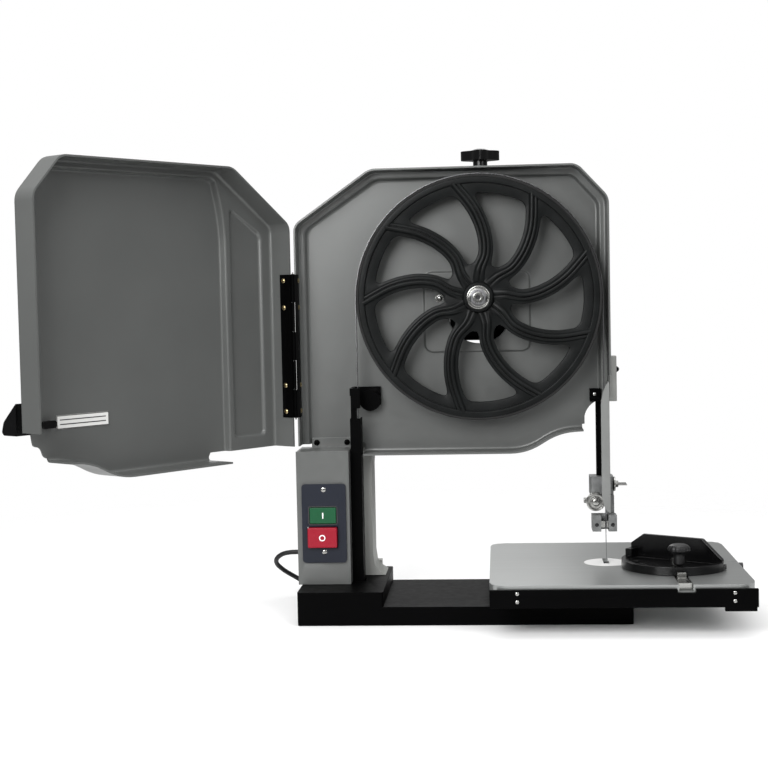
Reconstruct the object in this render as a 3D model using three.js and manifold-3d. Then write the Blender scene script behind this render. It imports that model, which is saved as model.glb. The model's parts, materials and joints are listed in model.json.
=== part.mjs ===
// Upper section of a 14-inch vertical band saw: frame column, wheel housing with its door open,
// tensioned upper wheel, blade guides, tilting table and mitre gauge.
// Millimetres, +Z up. X = 0 is the wheel axis, Y = 0 the plane of the blade, Z = 0 the base underside.
// The operator stands at -Y.
import * as THREE from "three";
import { mergeVertices } from "three/addons/utils/BufferGeometryUtils.js";
import Module from "manifold-3d";

// Driving dimensions.
const GAP = 0.3; // between pieces that touch
const WHEEL_Z = 458; // wheel axis over the base underside
const WHEEL_R = 177.8; // over the tyre
const TYRE_T = 4;
const RIM_HALF = 13; // half the width of the rim
const SPOKES = 9;
const RIM_SIDES = 54; // facets of the round rim
const BLADE_R = WHEEL_R + 0.5; // inner face of the blade
const BLADE_T = 0.6;
const BLADE_HALF = 6.35; // half the blade's width
const RUN_X = BLADE_R + BLADE_T / 2; // middle of each straight run

const BASE_TOP = 26;
const FOOT_TOP = 47;
const BASE_L = -262;
const BASE_R = 209;
const BASE_FRONT = -100;
const BASE_BACK = 110;

const SHELL_L = -266.6; // housing and door outline
const SHELL_R = 188.4;
const SHELL_TOP = 646.6;
const SHEET = 2.5;
const LIP_FRONT = -12; // plane where the housing's lip meets the door's
const FLANGE_Y = 20; // front of the housing's flange band
const PANEL_Y = 28; // front of its recessed panel
const BAND = 13; // width of the flange band
const LEAF_ROOM = 1.3; // half the gap between the two lips, for the hinge leaves

const DOOR_OPEN = 125.5; // degrees from closed
const DOOR_FLANGE = 39; // depth of the door's flange band behind its lip
const DOOR_PANEL = 49.5;
const HINGE_X = SHELL_L - 2.3;
const HINGE_LOW = 287.6;
const HINGE_HIGH = 497.8;

const ARM_FRONT = 34; // front and back of the frame casting
const ARM_BACK = 94;
const COLUMN_L = -240;
const COLUMN_R = -164;

const TILT_Y = 42; // wheel tilt pin
const TILT_Z = 535;
const SCREW_X = 5; // tension screw
const SCREW_Y = 62;
const TRACK_Z = 420; // tracking screw

const POST_X = 178;
const POST_Y = 42;
const POST_R = 9.7;
const THRUST_X = 165.6;
const THRUST_Z = 156.5;
const GUIDE_Z = 126; // middle of the guide blocks

const TABLE_TOP = 70;
const TABLE_T = 14;
const TABLE_L = 10;
const TABLE_R = 366;
const TABLE_HALF = 178;
const SKIRT_LOW = 42;
const TRUNNION_R = 43.5;
const TRUNNION_BOLT_R = 30; // arc of the lock bolt about the tilt axis
const MITRE_X = 272; // middle of the mitre slot
const MITRE_Y = -42; // pivot of the mitre head
const MITRE_TURN = -33; // degrees

const COVER_L = -267;
const COVER_R = -190.5;
const COVER_FRONT = -40;
const COVER_TOP = 241;

const CORD_D = 7;
const COIL_X = -235;
const COIL_Y = 175;
const COIL_R = 38.5;
const TURN_PITCH = 7.4; // between the turns of the coil

const wasm = await Module();
wasm.setup();

// ---- Solids ----

function solid(geometry) {
  const bare = geometry.index ? geometry.toNonIndexed() : geometry.clone();
  bare.deleteAttribute("normal");
  bare.deleteAttribute("uv");
  const merged = mergeVertices(bare, 1e-4);
  const corners = merged.index.array;
  const kept = [];
  for (let i = 0; i < corners.length; i += 3) {
    const [a, b, c] = corners.slice(i, i + 3);
    if (a !== b && b !== c && c !== a) kept.push(a, b, c);
  }
  return new wasm.Manifold(
    new wasm.Mesh({
      numProp: 3,
      vertProperties: merged.attributes.position.array,
      triVerts: new Uint32Array(kept),
    }),
  );
}

function geometryOf(body) {
  const { vertProperties, triVerts } = body.getMesh();
  const geometry = new THREE.BufferGeometry();
  geometry.setAttribute("position", new THREE.BufferAttribute(vertProperties, 3));
  geometry.setIndex(new THREE.BufferAttribute(triVerts, 1));
  return geometry;
}

const join = (first, ...rest) => rest.reduce((sum, piece) => sum.add(piece), first);
const cut = (body, ...tools) => tools.reduce((rest, tool) => rest.subtract(tool), body);

function box(x0, x1, y0, y1, z0, z1) {
  const geometry = new THREE.BoxGeometry(x1 - x0, y1 - y0, z1 - z0);
  return solid(geometry.translate((x0 + x1) / 2, (y0 + y1) / 2, (z0 + z1) / 2));
}

// Turns a geometry made about Y so that it stands along another axis.
function along(axis, geometry) {
  if (axis === "z") return geometry.rotateX(Math.PI / 2);
  if (axis === "x") return geometry.rotateZ(-Math.PI / 2);
  return geometry;
}

// Places a piece whose own axis is at the origin: u and v are the two other coordinates, in order.
function placed(axis, geometry, u, v) {
  if (axis === "x") return geometry.translate(0, u, v);
  if (axis === "y") return geometry.translate(u, 0, v);
  return geometry.translate(u, v, 0);
}

// A round bar, or a taper when endR is given, along an axis from one coordinate to another.
function rod(axis, r, from, to, u, v, sides = 16, endR = r) {
  const bar = new THREE.CylinderGeometry(endR, r, to - from, sides).translate(0, (from + to) / 2, 0);
  return solid(placed(axis, along(axis, bar), u, v));
}

// A turned piece: profile points [radius, height] run up the outside and down the inside.
function turned(axis, profile, u, v, sides = 20) {
  const points = profile.map(([r, h]) => new THREE.Vector2(r, h));
  return solid(placed(axis, along(axis, new THREE.LatheGeometry(points, sides)), u, v));
}

function ring(axis, outerR, innerR, from, to, u, v, sides = 24) {
  const profile = [[innerR, from], [outerR, from], [outerR, to], [innerR, to], [innerR, from]];
  return turned(axis, profile, u, v, sides);
}

// An outline from corners [x, y, corner radius].
function outline(corners) {
  const shape = new THREE.Shape();
  corners.forEach(([x, y, r = 0], i) => {
    const before = corners[(i + corners.length - 1) % corners.length];
    const after = corners[(i + 1) % corners.length];
    const inLength = Math.hypot(before[0] - x, before[1] - y);
    const outLength = Math.hypot(after[0] - x, after[1] - y);
    const start = [x + ((before[0] - x) * r) / inLength, y + ((before[1] - y) * r) / inLength];
    const end = [x + ((after[0] - x) * r) / outLength, y + ((after[1] - y) * r) / outLength];
    if (i === 0) shape.moveTo(...start);
    else shape.lineTo(...start);
    if (r > 0) shape.quadraticCurveTo(x, y, ...end);
  });
  shape.closePath();
  return shape;
}

const BASES = {
  y: [[1, 0, 0], [0, 0, 1], [0, -1, 0]], // outline in X and Z
  z: [[1, 0, 0], [0, 1, 0], [0, 0, 1]], // outline in X and Y
  x: [[0, 1, 0], [0, 0, 1], [1, 0, 0]], // outline in Y and Z
};

// Extrudes an outline along an axis, from one coordinate to another.
function extruded(axis, corners, from, to, curveSegments = 3) {
  const shape = Array.isArray(corners) ? outline(corners) : corners;
  const geometry = new THREE.ExtrudeGeometry(shape, {
    depth: to - from,
    bevelEnabled: false,
    curveSegments,
  });
  geometry.translate(0, 0, axis === "y" ? -to : from);
  const basis = BASES[axis].map((v) => new THREE.Vector3(...v));
  return solid(geometry.applyMatrix4(new THREE.Matrix4().makeBasis(...basis)));
}

function rectangle(x0, x1, y0, y1, r = 0) {
  return [[x0, y0, r], [x1, y0, r], [x1, y1, r], [x0, y1, r]];
}

// Part of a flat ring, between two angles in degrees.
function arcBand(cx, cy, innerR, outerR, fromDeg, toDeg, steps = 12) {
  const at = (r, i) => {
    const a = THREE.MathUtils.degToRad(fromDeg + ((toDeg - fromDeg) * i) / steps);
    return [cx + r * Math.cos(a), cy + r * Math.sin(a)];
  };
  const count = [...Array(steps + 1).keys()];
  return [...count.map((i) => at(outerR, i)), ...count.map((i) => at(innerR, steps - i))];
}

// A hexagon about the origin of an outline, by its width across flats.
function hexagon(cx, cy, flats) {
  const r = flats / Math.sqrt(3);
  return [0, 1, 2, 3, 4, 5].map((i) => [
    cx + r * Math.cos((i * Math.PI) / 3),
    cy + r * Math.sin((i * Math.PI) / 3),
  ]);
}

// A knob head's outline: a circle with rounded lobes standing out of it.
function lobed(cx, cy, r, lobes, depth) {
  const steps = lobes * 6;
  return [...Array(steps).keys()].map((i) => {
    const a = (i / steps) * 2 * Math.PI;
    const radius = r - (depth * (1 - Math.cos(lobes * a))) / 2;
    return [cx + radius * Math.cos(a), cy + radius * Math.sin(a)];
  });
}

// ---- Materials ----

function finish(color, roughness, metalness) {
  return new THREE.MeshStandardMaterial({ color, roughness, metalness });
}

const greyPaint = finish(0x6e706e, 0.5, 0.1);
const castPaint = finish(0x9a9c99, 0.55, 0.1);
const blackPaint = finish(0x101112, 0.5, 0.1);
const wheelPaint = finish(0x242626, 0.45, 0.2);
const rubber = finish(0x1a1a1a, 0.85, 0);
const steel = finish(0xb8bab8, 0.3, 0.9);
const bladeSteel = finish(0xa9adb0, 0.28, 0.95);
const castGuide = finish(0x6a6c6b, 0.5, 0.5);
const blackPlastic = finish(0x0d0e0f, 0.45, 0);
const navyPlastic = finish(0x1b202c, 0.5, 0);
const greenPlastic = finish(0x1f5c34, 0.4, 0);
const redPlastic = finish(0x9c1026, 0.4, 0);
const groundIron = finish(0xa2a4a2, 0.35, 0.6);
const whiteLabel = finish(0xdededb, 0.6, 0);
const cordRubber = finish(0x1c1d1e, 0.6, 0);

const saw = new THREE.Group();

function add(name, body, material, parent = saw) {
  const mesh = new THREE.Mesh(geometryOf(body), material);
  mesh.name = name;
  parent.add(mesh);
  return mesh;
}

// ---- Base and frame ----

function makeBase() {
  const wall = 8;
  const inner = [BASE_L + wall, BASE_R - wall, BASE_FRONT + wall, BASE_BACK - wall];
  const footR = -140;
  const ribHalf = 10;
  const bladeRoom = 6;
  const block = join(
    extruded("z", rectangle(BASE_L, BASE_R, BASE_FRONT, BASE_BACK, 5), 0, BASE_TOP),
    extruded("z", rectangle(BASE_L, footR, BASE_FRONT, BASE_BACK, 5), BASE_TOP - 5, FOOT_TOP),
  );
  const pockets = [[inner[2], -ribHalf], [ribHalf, inner[3]]].flatMap(([y0, y1]) => [
    box(inner[0], footR - wall, y0, y1, -1, FOOT_TOP - wall),
    box(footR, inner[1], y0, y1, -1, BASE_TOP - wall),
  ]);
  const slots = [-RUN_X, RUN_X].map((x) =>
    box(x - bladeRoom, x + bladeRoom, -ribHalf - 1, ribHalf + 1, -1, FOOT_TOP + 1),
  );
  const boltHole = rod("z", 6.5, 30, FOOT_TOP + 1, ...COLUMN_BOLT, 16);
  add("base_casting", cut(block, ...pockets, ...slots, boltHole), blackPaint);
}

const COLUMN_BOLT = [-199, 100.8];

function makeFrame() {
  const flare = 18;
  const c = [
    [COLUMN_L, FOOT_TOP + GAP],
    [COLUMN_L, 548, 60],
    [-150, 618, 40],
    [60, 628, 40],
    [150, 560, 60],
    [150, 302, 8],
    [112, 302, 20],
    [95, 335, 30],
    [-90, 335, 60],
    [COLUMN_R, 270, 60],
    [COLUMN_R, FOOT_TOP + 32],
    [COLUMN_R + 2, FOOT_TOP + 16],
    [COLUMN_R + 8, FOOT_TOP + 7],
    [COLUMN_R + flare, FOOT_TOP + GAP],
  ];
  const flange = box(COLUMN_L, COLUMN_R + 8, ARM_BACK - 1, BASE_BACK - 2, FOOT_TOP + GAP, 60);
  const boss = extruded("z", rectangle(149, 199.7, 31, 62, 6), 302, 368);
  const screwBoss = rod("z", 15, 600, SHELL_TOP, SCREW_X, SCREW_Y, 24);
  const body = join(extruded("y", c, ARM_FRONT, ARM_BACK, 5), flange, boss, screwBoss);
  const window = box(-45, 45, ARM_FRONT - 1, ARM_BACK + 1, 372, 590);
  const bores = [
    rod("z", POST_R + GAP, 301, 369, POST_X, POST_Y, 20),
    rod("z", 6.5, 589, SHELL_TOP + 1, SCREW_X, SCREW_Y, 16),
    rod("y", 3.4, 54, 63, 192.5, 347, 12),
    rod("z", 6.5, FOOT_TOP - 1, 61, ...COLUMN_BOLT, 16),
  ];
  add("column_casting", cut(body, window, ...bores), castPaint);
  const bolt = join(
    extruded("z", hexagon(...COLUMN_BOLT, 13.6), 60 + GAP, 67),
    rod("z", 6, 32, 61, ...COLUMN_BOLT, 16),
  );
  add("column_bolt", bolt, steel);
}

// ---- Wheel housing and its door ----

// The shell's upper corners, shared by the housing and the door; `in` moves them inwards.
function upperCorners(inset, leftLow, rightLow) {
  const slant = inset * 0.42; // how far a chamfer's corner slides along the side as it moves in
  return [
    [SHELL_L + inset, leftLow],
    [SHELL_L + inset, 568 - slant, 9],
    [-154.5 + slant, SHELL_TOP - inset, 9],
    [143.6 - slant, SHELL_TOP - inset, 9],
    [SHELL_R - inset, 598 - slant, 9],
    [SHELL_R - inset, rightLow],
  ];
}

// The housing's lower edge, from right to left, with the hollow round the guide post.
function housingBottom() {
  const relief = arcBand(182, 275, 31, 32, 78, 168, 8).slice(9).reverse();
  return [...relief, [151.6, 264, 2], [146, 262, 2], [112, 260, 24], [66, 231, 24], [-172, 231, 6]];
}

function makeHousing() {
  const bottomLeft = [[-172, 246, 3]];
  const full = [...upperCorners(0, 246, 306), ...housingBottom(), ...bottomLeft];
  const back = PANEL_Y + SHEET;
  const body = cut(
    extruded("y", full, FLANGE_Y, back),
    extruded("y", upperCorners(BAND, 0, 0), FLANGE_Y - 1, PANEL_Y),
  );
  const hollow = cut(
    extruded("y", upperCorners(SHEET, 0, 0), FLANGE_Y + SHEET, back + 1),
    extruded("y", upperCorners(BAND - SHEET, -10, -10), FLANGE_Y, back + 2),
  );
  const lipBlank = cut(
    extruded("y", full, LIP_FRONT + LEAF_ROOM, PANEL_Y + 1),
    extruded("y", upperCorners(SHEET, 200, 200), LIP_FRONT, PANEL_Y + 2),
  );
  const lip = cut(lipBlank, box(SHELL_R - 20, SHELL_R + 1, -50, FLANGE_Y, 200, 342));
  const floorCorners = [[146, 262], [112, 260, 24], [66, 231, 24], [-166, 231]];
  const floorInner = floorCorners.map(([x, z, r]) => [x, z + SHEET, r]).reverse();
  const floor = extruded("y", [...floorCorners, ...floorInner], LIP_FRONT + LEAF_ROOM, PANEL_Y + 1);
  const emboss = extruded("y", rectangle(-81, 75, 378, 497, 15), PANEL_Y - 2, PANEL_Y + 1);
  const holes = [
    rod("y", 46, 10, 50, 0, 436, 32),
    ...housingScrewPlaces().map(([x, z]) => rod("y", 3.4, 10, 50, x, z, 12)),
    ...tabScrewPlaces().map(([x, z]) => rod("y", 2.4, 10, 50, x, z, 12)),
  ];
  const shell = cut(join(cut(body, hollow), lip, floor, emboss), ...holes);
  add("wheel_housing", shell, greyPaint);
}

const housingScrewPlaces = () => [[-57.5, 457.5], [57.5, 457.5]];
const tabScrewPlaces = () => [[-243.5, 248], [-198.5, 248]];

// The pan-head screw and washer that fix the housing to the frame casting.
function makeHousingScrew() {
  const [x, z] = housingScrewPlaces()[0];
  const y = PANEL_Y - 2 - GAP;
  const pan = [[0, y - 4], [2.6, y - 4], [4.2, y - 1.4], [6.2, y - 1.4], [6.2, y], [0, y]];
  const screw = join(turned("y", pan, x, z, 20), rod("y", 3, y - 1, 33, x, z, 14));
  add("housing_screw", screw, steel);
}

function doorGroup() {
  const group = new THREE.Group();
  group.position.set(HINGE_X, LIP_FRONT, 0);
  group.rotation.z = THREE.MathUtils.degToRad(-DOOR_OPEN);
  saw.add(group);
  return group;
}

// The door is drawn closed, in the hinge's frame: x runs to the free edge, y is negative outwards.
function makeDoor(group) {
  const toHinge = (corners) => corners.map(([x, z, r = 0]) => [x - HINGE_X, z, r]);
  const bottom = [
    [166, 300, 3], [163, 281, 4], [152, 279, 5], [146, 260, 6], [112, 258, 24], [62, 233, 24],
    [-140, 233, 3], [-143, 246, 8],
  ];
  const full = toHinge([...upperCorners(0, 246, 300), ...bottom]);
  const front = -DOOR_PANEL - SHEET;
  const hollowL = 96 - 2.3 + SHELL_L; // where the deep panel starts
  const deep = toHinge([
    [hollowL, 0],
    [hollowL, 575, 40],
    ...upperCorners(BAND, 0, 0).slice(2),
  ]);
  const deepOuter = toHinge([
    [hollowL - SHEET, -10],
    [hollowL - SHEET, 576, 40],
    ...upperCorners(BAND - SHEET, -10, -10).slice(2),
  ]);
  const trap = (grow) => [
    [24 - grow, 264 - grow, 5], [86 + grow, 264 - grow, 5],
    [86 + grow, 592 + grow, 5], [24 - grow, 556 + grow, 5],
  ];
  const block = cut(
    extruded("y", full, front, -DOOR_FLANGE),
    extruded("y", deep, -DOOR_PANEL, 0),
    extruded("y", trap(0), -DOOR_FLANGE - 4, 0),
  );
  const relief = cut(
    extruded("y", toHinge(upperCorners(SHEET, 0, 0)), front - 1, -DOOR_FLANGE - SHEET),
    extruded("y", deepOuter, front - 2, 0),
    extruded("y", trap(SHEET), -DOOR_FLANGE - 4 - SHEET, 0),
  );
  const lipBlank = cut(
    extruded("y", full, front, -LEAF_ROOM),
    extruded("y", toHinge(upperCorners(SHEET, 200, 200)), front - 1, 0),
  );
  const floorCorners = toHinge([[140, 259.5], [112, 258, 24], [62, 233, 24], [-140, 233]]);
  const floorInner = floorCorners.map(([x, z, r]) => [x, z + SHEET, r]).reverse();
  const floor = extruded("y", [...floorCorners, ...floorInner], front, -LEAF_ROOM);
  const spindleHole = rod("y", 5.3, front - 1, 0, LATCH_D, LATCH_Z, 16);
  const shell = cut(join(cut(block, relief), lipBlank, floor), spindleHole);
  add("door_shell", shell, greyPaint, group);
  const label = extruded("y", rectangle(309, 395, 300, 318, 1), -DOOR_PANEL + GAP, -DOOR_PANEL + 1);
  add("door_label_plate", label, whiteLabel, group);
}

const LATCH_D = 407; // latch spindle, from the hinge axis
const LATCH_Z = 308;

function makeLatch(group) {
  const outside = -DOOR_PANEL - SHEET - GAP;
  const wedge = [
    [outside, 337], [outside - 26, 313, 4], [outside - 30, 300, 2], [outside - 26, 296, 2], [outside, 296],
  ];
  const handle = extruded("x", wedge, LATCH_D - 6, 455);
  const spindle = rod("y", 5, outside - 1, -40, LATCH_D, LATCH_Z, 16);
  const cam = extruded("y", rectangle(LATCH_D - 6, LATCH_D + 16, LATCH_Z - 5, LATCH_Z + 5, 4), -44, -40);
  add("door_latch", join(handle, spindle, cam), blackPlastic, group);
}

const HINGE_SCREW_Z = [488, 449, 335.6, 297.5];

// One leaf in the hinge's frame; side is +1 for the housing's leaf and -1 for the door's.
function leafBody(side, screwY) {
  const knuckles = 5;
  const pitch = (HINGE_HIGH - HINGE_LOW) / knuckles;
  const mine = [...Array(knuckles).keys()].filter((i) => i % 2 === (side > 0 ? 0 : 1));
  const low = HINGE_LOW + 1;
  const high = HINGE_HIGH - 1;
  const across = (a, b) => [Math.min(side * a, side * b), Math.max(side * a, side * b)];
  const root = box(1.2, 5.6, ...across(0.15, 1.05), low, high);
  const web = box(4.9, 6.1, ...across(0.15, 20), low, high);
  const barrels = mine.map((i) => {
    const z0 = HINGE_LOW + i * pitch + 0.3;
    const z1 = HINGE_LOW + (i + 1) * pitch - 0.3;
    return ring("z", 2.2, 1.4, z0, z1, 0, 0, 10);
  });
  const ears = mine.map((i) => {
    const z0 = HINGE_LOW + i * pitch + 0.3;
    const z1 = HINGE_LOW + (i + 1) * pitch - 0.3;
    return box(1.6, 2.4, ...across(0.15, 1.05), z0, z1);
  });
  const gaps = [...Array(knuckles).keys()]
    .filter((i) => !mine.includes(i))
    .map((i) => box(0, 2.5, -4, 4, HINGE_LOW + i * pitch - 0.3, HINGE_LOW + (i + 1) * pitch + 0.3));
  const holes = HINGE_SCREW_Z.map((z) => rod("x", 1.9, 4, 7, screwY, z, 8));
  return join(cut(join(root, web), ...gaps, ...holes), ...barrels, ...ears);
}

function makeHinge(group) {
  const fixed = new THREE.Group();
  fixed.position.set(HINGE_X, LIP_FRONT, 0);
  saw.add(fixed);
  const screwIn = 13;
  add("hinge_leaf_fixed", leafBody(1, screwIn), blackPaint, fixed);
  add("hinge_leaf_door", leafBody(-1, -screwIn), blackPaint, group);
  add("hinge_pin", rod("z", 1.05, HINGE_LOW - 2, HINGE_HIGH + 2, 0, 0, 12), steel, fixed);
}

// ---- Upper wheel ----

// Middle line of a spoke: angle behind the rim end, in degrees, at each radius.
const SPOKE_LINE = new THREE.CatmullRomCurve3(
  [[18, -8], [40, -13.5], [66, -20], [97, -15], [130, -7.5], [170, 1.5]].map(([r, deg]) => {
    const a = THREE.MathUtils.degToRad(deg);
    return new THREE.Vector3(r * Math.cos(a), r * Math.sin(a), 0);
  }),
);

// A band of the given half width about the spoke's middle line.
function spokeBand(half, from, to, steps = 6) {
  const left = [];
  const right = [];
  for (let i = 0; i <= steps; i++) {
    const t = from + ((to - from) * i) / steps;
    const p = SPOKE_LINE.getPointAt(t);
    const d = SPOKE_LINE.getTangentAt(t);
    left.push([p.x - d.y * half, p.y + d.x * half]);
    right.unshift([p.x + d.y * half, p.y - d.x * half]);
  }
  return [...right.reverse(), ...left.reverse()];
}

function makeWheel() {
  const rimR = WHEEL_R - TYRE_T - GAP;
  const webFront = -9;
  const webBack = -1;
  const bearingR = 17.5;
  const rim = turned(
    "y",
    [
      [149, webFront], [165, webFront], [165, -RIM_HALF], [rimR, -RIM_HALF], [rimR, RIM_HALF],
      [165, RIM_HALF], [165, webBack], [149, webBack], [149, webFront],
    ],
    0, 0, RIM_SIDES,
  );
  const hub = join(
    rod("y", 47, webFront, webBack, 0, 0, 27),
    rod("y", 22, -18, 18, 0, 0, 24),
  );
  const spokes = [...Array(SPOKES).keys()].map((i) => {
    const web = extruded("y", spokeBand(12, 0.08, 0.93), webFront, webBack);
    return web.rotate([0, -(20 + (i * 360) / SPOKES), 0]);
  });
  const bores = [
    rod("y", bearingR + GAP, -20, -6.5, 0, 0, 24),
    rod("y", bearingR + GAP, 6.5, 20, 0, 0, 24),
    rod("y", 10, -10, 10, 0, 0, 16),
  ];
  const wheel = cut(join(rim, hub, ...spokes), ...bores).translate([0, 0, WHEEL_Z]);
  add("upper_wheel", wheel, wheelPaint);
  const tyre = ring("y", WHEEL_R, WHEEL_R - TYRE_T, -12.5, 12.5, 0, WHEEL_Z, RIM_SIDES);
  add("wheel_tyre", tyre, rubber);
  const bearing = (y0, y1) => ring("y", bearingR, 7.5 + GAP, y0, y1, 0, WHEEL_Z, 24);
  add("wheel_bearing_front", bearing(-17.8, -6.9), steel);
  add("wheel_bearing_rear", bearing(6.9, 17.8), steel);
}

function makeAxle() {
  const axle = join(
    rod("y", 7.5, -33, 46, 0, WHEEL_Z, 24),
    rod("y", 11, 18.6, 21.6, 0, WHEEL_Z, 24),
  );
  add("wheel_axle", cut(axle, rod("y", 3.5, -34, -29, 0, WHEEL_Z, 12)), steel);
  add("axle_washer", ring("y", 17.2, 7.5 + GAP, -21, -18.6, 0, WHEEL_Z, 24), steel);
  const nut = cut(
    join(extruded("y", hexagon(0, WHEEL_Z, 20), -31, -23), rod("y", 12.5, -23.5, -21.3, 0, WHEEL_Z, 24)),
    rod("y", 7.5 + GAP, -40, -20, 0, WHEEL_Z, 24),
  );
  add("axle_nut", nut, steel);
}

// The bracket slides up and down in the arm's window and carries the block that tilts the wheel.
function makeTensioner() {
  const block = join(
    box(-24, 24, ARM_FRONT, 46, 402, 523),
    box(-24, 24, ARM_FRONT, 50, 522, 547),
    rod("y", 15, 22.2, ARM_FRONT + 1, 0, WHEEL_Z, 28),
  );
  const bores = [
    rod("x", 4.8, -30, 30, TILT_Y, TILT_Z, 16),
    rod("y", 7.5 + GAP, 10, 60, 0, WHEEL_Z, 24),
  ];
  add("tilt_block", cut(block, ...bores), blackPaint);
  add("tilt_pin", rod("x", 4.5, -42.5, 42.5, TILT_Y, TILT_Z, 16), steel);
  const bracket = cut(
    join(
      box(-43, -27, ARM_FRONT + 0.5, 90, 410, 556),
      box(27, 43, ARM_FRONT + 0.5, 90, 410, 556),
      box(-43, 43, 78, 90, 394, 556),
      box(-43, 43, 50.5, 90, 555, 570),
      box(-5, 15, 51, 79, 506, 520),
    ),
    rod("x", 4.8, -50, 50, TILT_Y, TILT_Z, 16),
    rod("y", 5.3, 70, 95, 0, TRACK_Z, 16),
    rod("z", 6.5, 500, 575, SCREW_X, SCREW_Y, 16),
  );
  add("tension_bracket", bracket, blackPaint);
  add("tension_spring", springBody(522, 552, 9.4, 1.4, 4), steel);
  const star = lobed(SCREW_X, SCREW_Y, 28.5, 4, 9);
  const screw = join(
    rod("z", 6, 484, 652, SCREW_X, SCREW_Y, 16),
    rod("z", 14, SHELL_TOP + GAP, 649.4, SCREW_X, SCREW_Y, 24),
    rod("z", 10.6, 649, 661, SCREW_X, SCREW_Y, 24),
    extruded("z", star, 660, 674),
    rod("z", 17, 673.5, 677, SCREW_X, SCREW_Y, 20, 9),
  );
  add("tension_knob", screw, blackPlastic);
  const tracking = join(
    rod("y", 5, 49.6, 104, 0, TRACK_Z, 16),
    rod("y", 12, 96, 104, 0, TRACK_Z, 20),
    extruded("y", lobed(0, TRACK_Z, 30, 5, 8), 103, 120),
  );
  add("tracking_knob", tracking, blackPlastic);
}

function springBody(low, high, r, wireR, turns) {
  const steps = turns * 9;
  const points = [...Array(steps + 1).keys()].map((i) => {
    const a = (i / 9) * 2 * Math.PI;
    const z = low + wireR + ((high - low - 2 * wireR) * i) / steps;
    return new THREE.Vector3(SCREW_X + r * Math.cos(a), SCREW_Y + r * Math.sin(a), z);
  });
  return tubeAlong(points, wireR, 5, steps);
}

// A round tube with closed ends along smooth points.
function tubeAlong(points, r, sides, steps) {
  const section = new THREE.Shape(
    [...Array(sides).keys()].map((i) => {
      const a = (i / sides) * 2 * Math.PI;
      return new THREE.Vector2(r * Math.cos(a), r * Math.sin(a));
    }),
  );
  const extrudePath = new THREE.CatmullRomCurve3(points);
  return solid(new THREE.ExtrudeGeometry(section, { steps, extrudePath, bevelEnabled: false }));
}

function makeBlade() {
  const low = 4;
  const arc = (r, reverse) => {
    const points = arcBand(0, WHEEL_Z, r, r + 1, 0, 180, 40).slice(41);
    return reverse ? points : points.reverse();
  };
  const outer = [[BLADE_R + BLADE_T, low], ...arc(BLADE_R + BLADE_T, false), [-BLADE_R - BLADE_T, low]];
  const inner = [[-BLADE_R, low], ...arc(BLADE_R, true), [BLADE_R, low]];
  add("blade", extruded("y", [...outer, ...inner], -BLADE_HALF, BLADE_HALF), bladeSteel);
}

// ---- Blade guides ----

function makeGuides() {
  add("guide_post", rod("z", POST_R, 172 + GAP, 430, POST_X, POST_Y, 20), blackPaint);
  const lock = join(
    rod("y", 3, 55, 64, 192.5, 347, 12),
    rod("y", 7, 62 + GAP, 72, 192.5, 347, 16),
    extruded("y", lobed(192.5, 347, 14, 5, 4), 71, 86),
  );
  add("post_lock_knob", lock, blackPlastic);

  const bracket = cut(
    join(
      extruded("z", rectangle(158, 192, 18, 55, 4), 166, 192.5),
      box(160, 176, 22, 50, 145, 167),
    ),
    rod("z", POST_R + GAP, 172, 200, POST_X, POST_Y, 20),
    rod("y", 4.7 + GAP, 10, 60, THRUST_X, THRUST_Z, 16),
    rod("x", 3.4, 174, 200, 25, 181, 12),
  );
  add("guide_bracket", bracket, castGuide);
  const bearing = ring("y", 12.7, 5.05, 6.9, 14.9, THRUST_X, THRUST_Z, 20);
  add("thrust_bearing", bearing, steel);
  const shaft = join(
    rod("y", 4.7, 6, 58, THRUST_X, THRUST_Z, 16),
    rod("y", 6, 4.8, 6.6, THRUST_X, THRUST_Z, 16),
    rod("y", 14, 15.3, 17.3, THRUST_X, THRUST_Z, 20),
  );
  add("thrust_shaft", shaft, steel);

  const holeLow = GUIDE_Z - 5;
  const holder = cut(
    join(
      box(159, 194, 9, 21, 117, 139),
      box(180, 192, 13, 34, 117, 166 - GAP),
      box(159, 171.4, -12, 10, 116.5, 140),
      box(182, 194, -12, 10, 116.5, 140),
    ),
    box(150, 200, -5, 5, holeLow, holeLow + 10),
    rod("y", 2.9, -13, 0, 165.2, GUIDE_Z, 14),
    rod("y", 2.9, -13, 0, 188, GUIDE_Z, 14),
  );
  add("guide_block_holder", holder, castGuide);
  const block = (x0, x1) => box(x0, x1, -4.7, 4.7, holeLow + GAP, holeLow + 10 - GAP);
  add("guide_block_left", block(160, RUN_X - 0.9), steel);
  add("guide_block_right", block(RUN_X + 0.9, 193), steel);
  add("thrust_clamp_screw", rod("x", 4.2, 149, 160 - GAP, 32, THRUST_Z, 14), steel);
  const wing = join(
    rod("x", 10.6, 192 + GAP, 194.6, 25, 181, 24),
    extruded("x", hexagon(25, 181, 9), 194, 199),
    box(198, 211, 13, 37, 180.2, 181.8),
    rod("x", 3, 176, 195, 25, 181, 12),
  );
  add("wing_screw", wing, steel);

  const face = [
    [184.5, 145], [184.5, 333], [182.5, 333, 1], [176.2, 322, 6], [172.4, 306, 8],
    [172.2, 168, 3], [175.5, 154, 2], [180.5, 146, 2],
  ];
  const guard = join(extruded("y", face, -22, -20.5), box(183, 184.5, -22, 18 - GAP, 168, 333));
  add("blade_guard", guard, castPaint);
}

// ---- Return-side guard ----

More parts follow.
